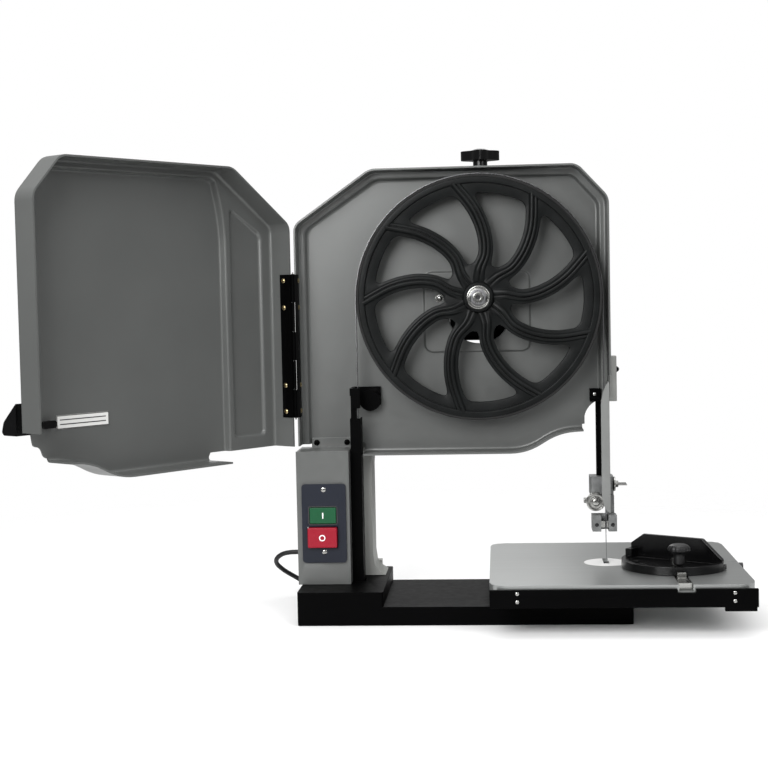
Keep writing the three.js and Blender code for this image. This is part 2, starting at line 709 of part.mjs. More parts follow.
function makeReturnGuard() {
  const low = FOOT_TOP + GAP;
  const left = -189.5;
  const right = -174;
  const guard = join(
    box(left, right, -16, -14.5, low, 286),
    box(left, left + 1.5, -16, 14, low, 286),
    box(right - 1.5, right, -16, 14, low, 286),
    box(-188, -179, -16, -14.5, 285, 318),
  );
  add("return_guard", guard, blackPaint);
  const bracket = join(
    box(-187.5, -174, -20, -16.3, 301, 330),
    box(-188.7, -184, -20, 27.7, 319, 330),
    box(-188.7, -147, 20, 27.7, 303, 330),
    rod("y", 15.5, 12, 27.7, -162, 310, 20),
  );
  add("return_guard_bracket", bracket, blackPaint);
  const clip = cut(
    join(box(159, 174.5, 14, 27.7, 303, 322), box(160, 174.5, 8, 15, 304.5, 306.5)),
    rod("y", 2, 10, 20, 165.5, 314.5, 12),
  );
  add("guard_clip", clip, blackPaint);
}

// ---- Column cover and switch ----

const switchScrewHeights = () => [186, 95.5];
const START = [-248, -210, 137, 160];
const STOP = [-251, -208.5, 102.5, 131.5];

function makeCover() {
  const sheet = 2;
  const low = FOOT_TOP + GAP;
  const shell = cut(
    box(COVER_L, COVER_R, COVER_FRONT, 33, low, COVER_TOP),
    box(COVER_L + sheet, COVER_R - sheet, COVER_FRONT + sheet, 40, low - 5, COVER_TOP - sheet),
    box(-254, -204, COVER_FRONT - 1, COVER_FRONT + 5, 90, 180),
    ...switchScrewHeights().map((z) => rod("y", 2, -45, -30, -227.5, z, 12)),
  );
  const tab = cut(
    box(-251, COVER_R, 24.5, 27.7, COVER_TOP - 1, 255),
    ...tabScrewPlaces().map(([x, z]) => rod("y", 2.4, 20, 30, x, z, 12)),
  );
  add("column_cover", shell.add(tab), greyPaint);
}

function makeSwitch() {
  const clear = 0.8;
  const opening = ([x0, x1, z0, z1]) => box(x0 - clear, x1 + clear, -50, -30, z0 - clear, z1 + clear);
  const plate = cut(
    extruded("y", rectangle(-259.4, -195.6, 80, 194, 5), -44, COVER_FRONT - GAP),
    opening(START),
    opening(STOP),
    ...switchScrewHeights().map((z) => rod("y", 2, -45, -30, -227.5, z, 12)),
  );
  add("switch_plate", plate, navyPlastic);
  add("start_button", extruded("y", rectangle(...START, 1), -45.5, -39.5), greenPlastic);
  add("stop_button", extruded("y", rectangle(...STOP, 2), -52, -39.5), redPlastic);
  add("switch_body", box(-252, -206, -35.5, 0, 92, 178), blackPlastic);
}

// ---- Table ----

function makeTable() {
  const low = TABLE_TOP - TABLE_T;
  const top = rectangle(TABLE_L, TABLE_R, -TABLE_HALF, TABLE_HALF, 26);
  const grown = (d) => rectangle(TABLE_L + d, TABLE_R - d, -TABLE_HALF + d, TABLE_HALF - d, 24);
  const skirt = cut(extruded("z", grown(3), SKIRT_LOW, low + 1), extruded("z", grown(13), 0, low));
  const body = cut(
    join(extruded("z", top, low, TABLE_TOP), skirt),
    box(MITRE_X - 9.5, MITRE_X + 9.5, -200, 200, TABLE_TOP - 9.5, TABLE_TOP + 1),
    box(178, 400, -1.2, 1.2, 30, TABLE_TOP + 1),
    rod("z", 25, 30, 90, 178, 0, 24),
    rod("z", 32.1, TABLE_TOP - 3.3, 90, 178, 0, 36),
    rod("x", 3.4, 340, 370, 0, 62, 14),
  );
  add("table", body, groundIron);
  const insert = cut(
    rod("z", 31.75, TABLE_TOP - 3, TABLE_TOP, 178, 0, 36),
    box(174.5, 182.5, -10, 34, 60, 80),
  );
  add("table_insert", insert, groundIron);
  const pin = join(rod("x", 3, 344, TABLE_R + 2, 0, 62, 14), rod("x", 6, TABLE_R + 0.5, 374, 0, 62, 16));
  add("table_pin", pin, steel);

  const railBack = -TABLE_HALF - GAP;
  const railScrews = [[47, 60], [47, 49], [335, 60], [335, 49]];
  const rail = cut(
    join(
      box(TABLE_L, TABLE_R, railBack - 6, railBack, 40.5, 65),
      box(322, 364, railBack - 6, railBack, 35, 41),
    ),
    box(MITRE_X - 12, MITRE_X + 12, -200, -170, 59.8, 70),
    ...railScrews.map(([x, z]) => rod("y", 2.3, -190, -170, x, z, 12)),
  );
  add("front_rail", rail, blackPaint);
}

function makeTrunnions() {
  const boltZ = TABLE_TOP - TRUNNION_BOLT_R;
  const half = arcBand(POST_X, TABLE_TOP, 1, TRUNNION_R, 180, 360, 28).slice(0, 29);
  const slot = arcBand(POST_X, TABLE_TOP, TRUNNION_BOLT_R - 3.6, TRUNNION_BOLT_R + 3.6, 248, 290);
  const segment = (y0, y1) =>
    cut(
      extruded("y", half, y0, y1),
      box(100, 250, y0 - 1, y1 + 1, TABLE_TOP - TABLE_T - GAP, 90),
      extruded("y", slot, y0 - 1, y1 + 1),
    );
  add("trunnion_front", segment(-45, -33), blackPaint);
  add("trunnion_rear", segment(33, 45), blackPaint);
  const support = cut(
    join(
      box(152, 204, -32.6, 32.6, BASE_TOP + GAP, 31),
      box(160, 196, -32.6, -24, BASE_TOP + GAP, 47),
      box(160, 196, 24, 32.6, BASE_TOP + GAP, 47),
    ),
    box(172, 185, -12, 12, 0, 60),
    rod("y", 3.3, 20, 40, POST_X, boltZ, 16),
  );
  add("trunnion_support", support, blackPaint);
  const knob = join(
    rod("y", 3, 16, 54, POST_X, boltZ, 16),
    extruded("y", hexagon(POST_X, boltZ, 9), 17, 22),
    rod("y", 6, 47, 54, POST_X, boltZ, 16),
    extruded("y", lobed(POST_X, boltZ, 12, 5, 3), 53, 68),
  );
  add("trunnion_knob", knob, blackPlastic);
}

// ---- Mitre gauge ----

const KNOB_Y = -97; // clamp knob of the mitre head
const SLOT_R = MITRE_Y - KNOB_Y;

function makeMitreGauge() {
  const low = TABLE_TOP - 9.2;
  const top = TABLE_TOP - 0.2;
  const bar = cut(
    join(
      box(MITRE_X - 9.2, MITRE_X + 9.2, -166, 134, low, top),
      box(MITRE_X - 6, MITRE_X + 6, -129, -119, top - 1, TABLE_TOP + 7),
      rod("z", 5, top - 1, TABLE_TOP + 13, MITRE_X, MITRE_Y, 20),
    ),
    rod("z", 3.4, low - 1, 90, MITRE_X, KNOB_Y, 14),
  );
  add("mitre_bar", bar, steel);
  const knob = join(
    rod("z", 3, low + 1, TABLE_TOP + 20, MITRE_X, KNOB_Y, 14),
    rod("z", 8, TABLE_TOP + 12.4, TABLE_TOP + 32, MITRE_X, KNOB_Y, 20),
    turned("z", [[0, 100], [13, 100], [15.6, 103], [15.6, 107], [12, 110.5], [0, 112]], MITRE_X, KNOB_Y, 24),
  );
  add("mitre_knob", knob, blackPlastic);

  const head = new THREE.Group();
  head.position.set(MITRE_X, MITRE_Y, TABLE_TOP);
  head.rotation.z = THREE.MathUtils.degToRad(MITRE_TURN);
  saw.add(head);
  const radius = 75;
  const halfDisc = (r) => arcBand(0, 0, 1, r, 180, 360, 20).slice(0, 21);
  const plate = cut(
    join(
      extruded("z", halfDisc(radius), 0.6, 8),
      extruded("z", arcBand(0, 0, 67, radius, 180, 360, 20), 0.6, 12),
      box(-73, 73, -1, 14, 0.6, 8),
      box(-72, -62, -12, 5.6, 0.6, 22),
    ),
    rod("z", 5 + GAP, -1, 20, 0, 0, 20),
    extruded("z", arcBand(0, 0, SLOT_R - 4, SLOT_R + 4, 207, 333, 14), -1, 20),
  );
  add("mitre_head", plate, blackPaint, head);
  const fence = [[-73, 8.4], [-73, 28], [-53, 42], [40, 42], [70, 15, 2], [70, 8.4]];
  add("mitre_fence", extruded("y", fence, 6, 13), blackPaint, head);
}

// ---- Power cord ----

// From the strain relief, out to the left, down behind the frame and into the coil on the floor.
const CORD_ROUTE = [
  [-277, 64, 78], [-285, 64, 78], [-294, 64.5, 77.4], [-304, 67, 75], [-312, 72.5, 70],
  [-317, 80, 63.5], [-317.5, 89, 56], [-313, 98, 48], [-305, 105.5, 40], [-294, 111.5, 32],
  [-282, 115.5, 24], [-270, 119.5, 16], [-257, 124.5, 9],
  [COIL_X - 7, COIL_Y - COIL_R - TURN_PITCH - 0.6, 4.2],
];

function makeCord() {
  const relief = join(
    rod("x", 9, -248, COLUMN_L - GAP, 64, 78, 20, 11),
    rod("x", 4.3, -276.6, -247, 64, 78, 20, 8),
  );
  add("strain_relief", relief, blackPlastic);
  const route = CORD_ROUTE.map((p) => new THREE.Vector3(...p));
  add("power_cord", tubeAlong(route, CORD_D / 2, 10, 22), cordRubber);
  const half = 1.5 * CORD_D + 0.5;
  const coil = ring("z", COIL_R + half, COIL_R - half, GAP, 2 * CORD_D + 1, COIL_X, COIL_Y, 36);
  const mouth = box(COIL_X - 60, COIL_X - 5, 110, COIL_Y - COIL_R, -1, 13);
  add("cord_coil", cut(coil, mouth), cordRubber);
  const tail = COIL_X + 4;
  const plugY = COIL_Y - COIL_R - TURN_PITCH;
  const plugZ = 2 * CORD_D + 1 + GAP;
  const grip = rectangle(plugY - 15, plugY + 15, plugZ, plugZ + 21, 5);
  const prong = (y) => box(tail + 47, tail + 64, y - 0.8, y + 0.8, plugZ + 7, plugZ + 13);
  const plug = join(
    rod("x", 4.5, tail, tail + 20, plugY, plugZ + 10.5, 14, 8),
    extruded("x", grip, tail + 18, tail + 48),
    prong(plugY - 7),
    prong(plugY + 7),
  );
  add("plug", plug, blackPlastic);
}

makeBase();
makeFrame();
makeHousing();
makeHousingScrew();
const door = doorGroup();
makeDoor(door);
makeLatch(door);
makeHinge(door);
makeWheel();
makeAxle();
makeTensioner();
makeBlade();
makeGuides();
makeReturnGuard();
makeCover();
makeSwitch();
makeTable();
makeTrunnions();
makeMitreGauge();
makeCord();

export default saw;
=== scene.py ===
"""Looks of a band saw's upper section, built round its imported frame. Lengths are millimetres until MM."""
import json
import math

import bmesh
import bpy
from mathutils import Matrix, Vector
from mathutils.geometry import delaunay_2d_cdt


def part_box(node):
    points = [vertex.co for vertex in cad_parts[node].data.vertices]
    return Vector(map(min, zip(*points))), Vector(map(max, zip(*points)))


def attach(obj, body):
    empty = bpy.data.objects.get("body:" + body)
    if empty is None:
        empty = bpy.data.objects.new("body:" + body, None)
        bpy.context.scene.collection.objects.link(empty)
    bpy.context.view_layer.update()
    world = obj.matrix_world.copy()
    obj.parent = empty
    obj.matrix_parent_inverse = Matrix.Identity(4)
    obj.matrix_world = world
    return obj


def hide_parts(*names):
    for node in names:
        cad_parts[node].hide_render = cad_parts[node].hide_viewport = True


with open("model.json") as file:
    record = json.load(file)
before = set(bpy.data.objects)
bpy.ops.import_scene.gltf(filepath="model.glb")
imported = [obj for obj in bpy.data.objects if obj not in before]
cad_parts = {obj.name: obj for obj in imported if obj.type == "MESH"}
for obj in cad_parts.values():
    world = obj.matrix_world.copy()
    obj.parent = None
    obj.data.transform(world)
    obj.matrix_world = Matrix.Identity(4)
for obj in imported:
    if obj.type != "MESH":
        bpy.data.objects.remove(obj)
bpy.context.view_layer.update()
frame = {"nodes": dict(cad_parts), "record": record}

MM = 0.001
BODY_OF = {n: b for b, nodes in frame["record"]["behaviour"]["bodies"].items() for n in nodes}
SLOT_OF = {part["node"]: part["material_slot"] for part in frame["record"]["subparts"]}


def span(node):
    """A node's lowest and highest corners, in millimetres."""
    low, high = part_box(node)
    return low / MM, high / MM


def middle(node):
    """The centre of a node's box, in millimetres."""
    low, high = span(node)
    return (low + high) / 2


SHELL_LOW, SHELL_HIGH = span("wheel_housing")
HINGE_X = middle("hinge_pin").x
HINGE_Y = middle("hinge_pin").y
WHEEL = middle("wheel_tyre")
WHEEL_R = (span("wheel_tyre")[1].z - span("wheel_tyre")[0].z) / 2
DOOR_OPEN = math.radians(125.5)
DOOR_FRAME = Matrix.Translation((HINGE_X, HINGE_Y, 0)) @ Matrix.Rotation(-DOOR_OPEN, 4, "Z")

# ---- Camera and cord ----


CAMERA_PLACE = (0.02907, -2.20146, 0.45654)  # metres
CAMERA_ANGLES = (4.39, -3.16, 1.21)  # yaw, pitch and roll in degrees
SENSOR, LENS = 36, 71.0  # millimetres


def make_camera():
    """A camera at the photograph's viewing angle."""
    yaw, pitch, roll = (math.radians(a) for a in CAMERA_ANGLES)
    ahead = Vector((-math.sin(yaw) * math.cos(pitch), math.cos(yaw) * math.cos(pitch), math.sin(pitch)))
    right = Vector((math.cos(yaw), math.sin(yaw), 0))
    up = right.cross(ahead)
    c, s = math.cos(roll), math.sin(roll)
    right, up = right * c - up * s, right * s + up * c
    data = bpy.data.cameras.new("camera")
    data.sensor_width = SENSOR
    data.lens = LENS
    camera = bpy.data.objects.new("camera", data)
    bpy.context.scene.collection.objects.link(camera)
    turn = Matrix((right, up, -ahead)).transposed().to_4x4()
    camera.matrix_world = Matrix.Translation(CAMERA_PLACE) @ turn
    bpy.context.scene.camera = camera


CORD_D = 7
# The slack lies in a coil of three rings and four layers, on the floor behind the column.
COIL_X, COIL_Y = -235, 175
COIL_R, TURN_PITCH = 38.5, 7.4
COIL_FLOOR, LAYER = 3.8, 7.2
# The free part, from the strain relief down to the coil.
CORD_ROUTE = [
    (-277, 64, 78), (-285, 64, 78), (-294, 64.5, 77.4), (-304, 67, 75), (-312, 72.5, 70),
    (-317, 80, 63.5), (-317.5, 89, 56), (-313, 98, 48), (-305, 105.5, 40), (-294, 111.5, 32),
    (-282, 115.5, 24), (-270, 119.5, 16), (-257, 124.5, 9),
    (COIL_X - 7, COIL_Y - COIL_R - TURN_PITCH, 4.2),
]
# Where the coil's turns change radius or layer: angle in degrees, ring (-1, 0 or 1) and layer.
COIL_KNOTS = [
    (270, 1, 0), (560, 1, 0), (630, 0, 0), (920, 0, 0), (990, -1, 0), (1210, -1, 0), (1280, -1, 1),
    (1500, -1, 1), (1570, 0, 1), (1860, 0, 1), (1930, 1, 1), (2110, 1, 1), (2200, -0.95, 2),
    (2490, -0.95, 2), (2560, 0.1, 2), (2740, 0.1, 2), (2790, 1, 3),
]


def smooth_line(points, steps):
    """Points along a Catmull-Rom curve through the given ones."""
    points = [Vector(p) for p in points]
    ends = [2 * points[0] - points[1], *points, 2 * points[-1] - points[-2]]
    line = []
    for a, b, c, d in zip(ends, ends[1:], ends[2:], ends[3:]):
        for i in range(steps):
            t = i / steps
            line.append(0.5 * (2 * b + (c - a) * t + (2 * a - 5 * b + 4 * c - d) * t * t
                               + (3 * b - a - 3 * c + d) * t ** 3))
    return [*line, points[-1]]


def coil_line(step=9):
    """Points along the coil, with step degrees between them."""
    line = []
    for (a0, ring0, layer0), (a1, ring1, layer1) in zip(COIL_KNOTS, COIL_KNOTS[1:]):
        count = round((a1 - a0) / step)
        for i in range(count):
            t = i / count
            ease = t * t * (3 - 2 * t)
            angle = math.radians(a0 + (a1 - a0) * t)
            radius = COIL_R + TURN_PITCH * (ring0 + (ring1 - ring0) * ease)
            height = COIL_FLOOR + LAYER * (layer0 + (layer1 - layer0) * ease)
            x = COIL_X + radius * math.cos(angle)
            y = COIL_Y + radius * math.sin(angle)
            line.append(Vector((x, y, height)))
    return line


def make_cord():
    """The cord in one piece, from the strain relief through the coil to just short of the plug."""
    tail = span("plug")[0]
    end = Vector((tail.x - 0.4, middle("plug").y, tail.z + 10.5))
    line = smooth_line([*CORD_ROUTE, *coil_line(), end], 3)
    curve = bpy.data.curves.new("cord", "CURVE")
    curve.dimensions = "3D"
    curve.bevel_depth = 1.0
    curve.bevel_resolution = 5
    curve.use_fill_caps = True
    spline = curve.splines.new("POLY")
    spline.points.add(len(line) - 1)
    for point, place in zip(spline.points, line):
        point.co = (*(place * MM), 1)
        point.radius = CORD_D / 2 * MM
    cord = bpy.data.objects.new("cord", curve)
    bpy.context.scene.collection.objects.link(cord)
    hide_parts("power_cord", "cord_coil")
    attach(cord, "frame")
    return cord


make_camera()
cord = make_cord()

# ---- Finishes ----


def finish(name, colour, rough, metal=0.0, tone=0.10, blotch=14, grain=900, bump=0.03, stretch=(1, 1, 1),
           uneven=0.08, specular=0.5):
    """A procedural finish: clouds of tone, patches of roughness and a fine grain."""
    made = bpy.data.materials.new(name)
    made.use_nodes = True
    tree = made.node_tree
    shader = tree.nodes["Principled BSDF"]
    shader.inputs["Metallic"].default_value = metal
    shader.inputs["Specular IOR Level"].default_value = specular
    place = tree.nodes.new("ShaderNodeTexCoord")
    scaled = tree.nodes.new("ShaderNodeMapping")
    scaled.inputs["Scale"].default_value = stretch
    tree.links.new(place.outputs["Object"], scaled.inputs["Vector"])

    def noise(scale, detail, stretched=True):
        node = tree.nodes.new("ShaderNodeTexNoise")
        node.inputs["Scale"].default_value = scale
        node.inputs["Detail"].default_value = detail
        source = scaled.outputs["Vector"] if stretched else place.outputs["Object"]
        tree.links.new(source, node.inputs["Vector"])
        return node.outputs["Fac"]

    def ramp(value, low, high, at=(0.3, 0.7)):
        node = tree.nodes.new("ShaderNodeValToRGB")
        for element, where, shade in zip(node.color_ramp.elements, at, (low, high)):
            element.position = where
            element.color = (*shade, 1)
        tree.links.new(value, node.inputs["Fac"])
        return node.outputs["Color"]

    dark, light = ([c * k for c in colour] for k in (1 - tone, 1 + tone))
    shade = ramp(noise(blotch, 5, False), dark, light)
    tree.links.new(shade, shader.inputs["Base Color"])
    spread = tree.nodes.new("ShaderNodeMapRange")
    spread.inputs["To Min"].default_value = max(0.02, rough - uneven)
    spread.inputs["To Max"].default_value = min(1.0, rough + uneven)
    tree.links.new(noise(grain / 6, 4), spread.inputs["Value"])
    tree.links.new(spread.outputs["Result"], shader.inputs["Roughness"])
    relief = tree.nodes.new("ShaderNodeBump")
    relief.inputs["Strength"].default_value = 0.6
    relief.inputs["Distance"].default_value = bump * MM
    tree.links.new(noise(grain, 3), relief.inputs["Height"])
    tree.links.new(relief.outputs["Normal"], shader.inputs["Normal"])
    return made


FINISH = {
    "grey_paint": finish("grey_paint", (0.112, 0.116, 0.113), 0.33, 0.2, tone=0.05, blotch=9, grain=700,
                         bump=0.05),
    "guard_grey": finish("guard_grey", (0.23, 0.235, 0.23), 0.38, 0.3, tone=0.06, grain=500, bump=0.05),
    "bright_metal": finish("bright_metal", (0.80, 0.80, 0.79), 0.45, 0.4, tone=0.04, grain=900, bump=0.01),
    "cast_paint": finish("cast_paint", (0.34, 0.345, 0.33), 0.45, 0.1, tone=0.06, grain=500, bump=0.12),
    "black_paint": finish("black_paint", (0.0008, 0.0008, 0.0009), 0.48, tone=0.2, grain=600, bump=0.05,
                          specular=0.03),
    "black_enamel": finish("black_enamel", (0.0015, 0.0015, 0.0017), 0.22, tone=0.2, grain=500, bump=0.05,
                           specular=0.35),
    "wheel_paint": finish("wheel_paint", (0.0065, 0.0072, 0.0072), 0.34, tone=0.3, blotch=30, grain=420,
                          bump=0.2, specular=0.12),
    "tyre_rubber": finish("tyre_rubber", (0.008, 0.008, 0.008), 0.7, tone=0.2, grain=800, bump=0.05,
                          specular=0.3),
    "steel": finish("steel", (0.40, 0.40, 0.385), 0.20, 1.0, tone=0.06, blotch=60, grain=1500, bump=0.002,
                    uneven=0.05),
    "blade_steel": finish("blade_steel", (0.30, 0.30, 0.31), 0.28, 1.0, tone=0.10, blotch=40, grain=900,
                          bump=0.01, stretch=(1, 1, 0.05)),
    "guide_iron": finish("guide_iron", (0.20, 0.205, 0.205), 0.42, 0.5, tone=0.25, blotch=90, grain=600,
                         bump=0.15),
    "black_plastic": finish("black_plastic", (0.006, 0.006, 0.0065), 0.34, tone=0.15, grain=1200, bump=0.03,
                            specular=0.4),
    "navy_plastic": finish("navy_plastic", (0.007, 0.0095, 0.018), 0.42, tone=0.1, grain=1200, bump=0.02,
                           specular=0.3),
    "green_plastic": finish("green_plastic", (0.006, 0.075, 0.028), 0.35, tone=0.08, grain=1200, bump=0.02,
                            specular=0.3),
    "red_plastic": finish("red_plastic", (0.27, 0.005, 0.018), 0.35, tone=0.08, grain=1200, bump=0.02,
                          specular=0.3),
    "ground_iron": finish("ground_iron", (0.33, 0.34, 0.335), 0.30, 0.75, tone=0.04, blotch=7, grain=900,
                          bump=0.003, stretch=(0.04, 1, 1), uneven=0.04),
    "label_white": finish("label_white", (0.72, 0.72, 0.70), 0.5, tone=0.03, grain=900, bump=0.01),
    "cord_rubber": finish("cord_rubber", (0.008, 0.008, 0.009), 0.5, tone=0.15, grain=1500, bump=0.03,
                          specular=0.35),
    "brass": finish("brass", (0.42, 0.34, 0.19), 0.28, 1.0, tone=0.12, blotch=80, grain=1500, bump=0.004),
    "dark_steel": finish("dark_steel", (0.05, 0.05, 0.052), 0.35, 0.8, tone=0.2, grain=1200, bump=0.02),
    "print_white": finish("print_white", (0.8, 0.8, 0.8), 0.5, tone=0.02, grain=900, bump=0.005),
    "print_dark": finish("print_dark", (0.02, 0.02, 0.02), 0.5, tone=0.05, grain=900, bump=0.005),
}
cord.data.materials.append(FINISH["cord_rubber"])

# ---- Mesh tools ----


def add(name, bm, look, body, slot=None, stands_for=(), flat=32, matrix=None):
    """Puts a mesh made in millimetres into the scene, on its body. Edges over flat degrees are sharp."""
    if matrix is not None:
        bm.transform(matrix)
    bm.transform(Matrix.Scale(MM, 4))
    mesh = bpy.data.meshes.new(name)
    bm.to_mesh(mesh)
    bm.free()
    mesh.materials.append(FINISH[look])
    mesh.set_sharp_from_angle(angle=math.radians(flat))
    made = bpy.data.objects.new(name, mesh)
    bpy.context.scene.collection.objects.link(made)
    if stands_for:
        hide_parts(*stands_for)
    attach(made, body)
    slot = slot or look
    return made


def rounded(corners, steps=6, closed=True):
    """An outline's points, with each corner (x, y, r) rounded from r before it to r after it."""
    line = []
    for i, (x, y, *r) in enumerate(corners):
        here = Vector((x, y))
        if not r or not r[0] or (not closed and i in (0, len(corners) - 1)):
            line.append(here)
            continue
        before = Vector(corners[i - 1][:2]) - here
        after = Vector(corners[(i + 1) % len(corners)][:2]) - here
        start, end = here + before.normalized() * r[0], here + after.normalized() * r[0]
        for k in range(steps + 1):
            t = k / steps
            line.append(start * (1 - t) ** 2 + here * 2 * t * (1 - t) + end * t * t)
    return line


def loft(bm, rows, wrap_rows=False, wrap_points=False):
    """Faces between rows of the same number of points. Returns the rows' vertices."""
    grid = [[bm.verts.new(p) for p in row] for row in rows]
    pairs = list(zip(grid, grid[1:])) + ([(grid[-1], grid[0])] if wrap_rows else [])
    for low, high in pairs:
        count = len(low) if wrap_points else len(low) - 1
        for i in range(count):
            j = (i + 1) % len(low)
            bm.faces.new((low[i], low[j], high[j], high[i])).smooth = True
    return grid


# How a turned body's (u, v) round its axis and h along it become x, y and z.
TURNS = {
    "x": lambda u, v, h: (h, u, v),
    "y": lambda u, v, h: (u, h, v),
    "z": lambda u, v, h: (u, v, h),
}


def lathe(bm, axis, centre, profile, segments=64, closed=True):
    """A turned body: profile points are (radius, coordinate along the axis), the other two from centre."""
    rows = []
    for r, h in profile:
        row = []
        for i in range(segments):
            a = 2 * math.pi * i / segments
            row.append(TURNS[axis](centre[0] + r * math.cos(a), centre[1] + r * math.sin(a), h))
        rows.append(row)
    loft(bm, rows, wrap_rows=closed, wrap_points=True)


def tidy(bm, facing=None):
    """Merges points that meet and turns the faces outwards, or the largest one to face a direction."""
    bmesh.ops.remove_doubles(bm, verts=bm.verts, dist=0.01)
    bmesh.ops.recalc_face_normals(bm, faces=bm.faces)
    if facing is not None:
        largest = max(bm.faces, key=lambda f: f.calc_area())
        if largest.normal.dot(Vector(facing)) < 0:
            bmesh.ops.reverse_faces(bm, faces=bm.faces)
    return bm


def inside(point, loop):
    """Whether a point is within a closed outline."""
    odd = False
    for a, b in zip(loop, [*loop[1:], loop[0]]):
        if (a.y > point.y) != (b.y > point.y):
            if point.x < a.x + (b.x - a.x) * (point.y - a.y) / (b.y - a.y):
                odd = not odd
    return odd


def fill(bm, outer, holes, place):
    """Flat faces inside a closed outline and outside its holes; place turns (u, v) into a point."""
    loops = [outer, *holes]
    points = [Vector(p) for loop in loops for p in loop]
    edges, first = [], 0
    for loop in loops:
        edges += [(first + i, first + (i + 1) % len(loop)) for i in range(len(loop))]
        first += len(loop)
    made, _, faces, *_ = delaunay_2d_cdt(points, edges, [], 0, 1e-4)
    verts = [bm.verts.new(place(p.x, p.y)) for p in made]
    for face in faces:
        centre = sum((made[i] for i in face), Vector((0, 0))) / len(face)
        if inside(centre, outer) and not any(inside(centre, hole) for hole in holes):
            bm.faces.new([verts[i] for i in face])


def circle(x, y, r, count=24):
    """A round outline, counter-clockwise."""
    return [Vector((x + r * math.cos(2 * math.pi * i / count), y + r * math.sin(2 * math.pi * i / count)))
            for i in range(count)]


def grown(loop, distance):
    """A closed loop moved outwards, square to itself; loops run counter-clockwise."""
    out = []
    for a, b, c in zip([loop[-1], *loop[:-1]], loop, [*loop[1:], loop[0]]):
        along = (c - a).normalized()
        out.append(b + Vector((along.y, -along.x)) * distance)
    return out


def modifier(made, kind, **settings):
    """Adds a modifier with the given settings."""
    mod = made.modifiers.new(kind.lower(), kind)
    for key, value in settings.items():
        setattr(mod, key, value)
    return made


def edged(made, width, segments=2, angle=40):
    """Rounds the edges that are sharper than angle, in degrees."""
    return modifier(made, "BEVEL", width=width * MM, segments=segments, limit_method="ANGLE",
                    angle_limit=math.radians(angle), harden_normals=True, miter_outer="MITER_ARC")


def softened(node, width, look=None):
    """A copy of a frame node with its cut edges rounded and its curves shaded smooth."""
    bm = bmesh.new()
    bm.from_mesh(frame["nodes"][node].data)
    bm.transform(Matrix.Scale(1 / MM, 4))
    bmesh.ops.remove_doubles(bm, verts=bm.verts, dist=0.02)
    bmesh.ops.dissolve_limit(bm, angle_limit=math.radians(0.5), verts=bm.verts, edges=bm.edges)
    for face in bm.faces:
        face.smooth = True
    made = add(node + "_shown", bm, look or SLOT_OF[node], BODY_OF[node], SLOT_OF[node], (node,))
    if width:
        edged(made, width)


def pressed(made):
    """Gives a sheet its thickness and rounded rims, with its flat areas shaded flat."""
    modifier(made, "SOLIDIFY", thickness=SHEET * MM, offset=-1, use_even_offset=True)
    edged(made, 0.55, 2, 55)
    modifier(made, "WEIGHTED_NORMAL", mode="FACE_AREA", weight=100, keep_sharp=True)


# ---- Housing and door ----

SHEET = 2.5
CORNER = 9
# The shell's outline: where its side walls turn in, and its flat top's ends.
LEFT_SHOULDER, RIGHT_SHOULDER = 568, 598
TOP_LEFT, TOP_RIGHT = -154.5, 143.6
CORNER_SLIDE = 0.42  # how far a sloping side's ends slide for each millimetre of inset
SIDE_LOW = 246  # where the left walls of housing and door end
ARM_WINDOW = (0, 436, 46)  # x, z and radius of the hole behind the hub
PLATEAU = (-81, 75, 378, 497, 15)  # the area pressed forward round that hole: sides and corner radius
PLATEAU_RISE = 3.2
FLOOR_BEND = 4.0


def shell_path(inset, left_low, right_low):
    """The shell's left, upper and right sides, moved inwards by inset."""
    slide = inset * CORNER_SLIDE
    left, right, top = SHELL_LOW.x + inset, SHELL_HIGH.x - inset, SHELL_HIGH.z - inset
    corners = [(left, left_low), (left, LEFT_SHOULDER - slide, CORNER), (TOP_LEFT + slide, top, CORNER),
               (TOP_RIGHT - slide, top, CORNER), (right, RIGHT_SHOULDER - slide, CORNER), (right, right_low)]
    return rounded(corners, closed=False)


def ribbon(bm, profile, path):
    """Sheet that follows path(offset, y) for each profile point (offset, y)."""
    return loft(bm, [[(p.x, y, p.y) for p in path(offset, y)] for offset, y in profile])


def rect(x0, x1, z0, z1, r, grow=0.0):
    """A rectangle with rounded corners, grown on all sides."""
    r = r + grow
    return rounded([(x0 - grow, z0 - grow, r), (x1 + grow, z0 - grow, r),
                    (x1 + grow, z1 + grow, r), (x0 - grow, z1 + grow, r)])


def emboss(bm, outline, profile):
    """A closed bend round outline(grow) for each profile point (grow, y)."""
    loft(bm, [[(p.x, y, p.y) for p in outline(grow)] for grow, y in profile], wrap_points=True)


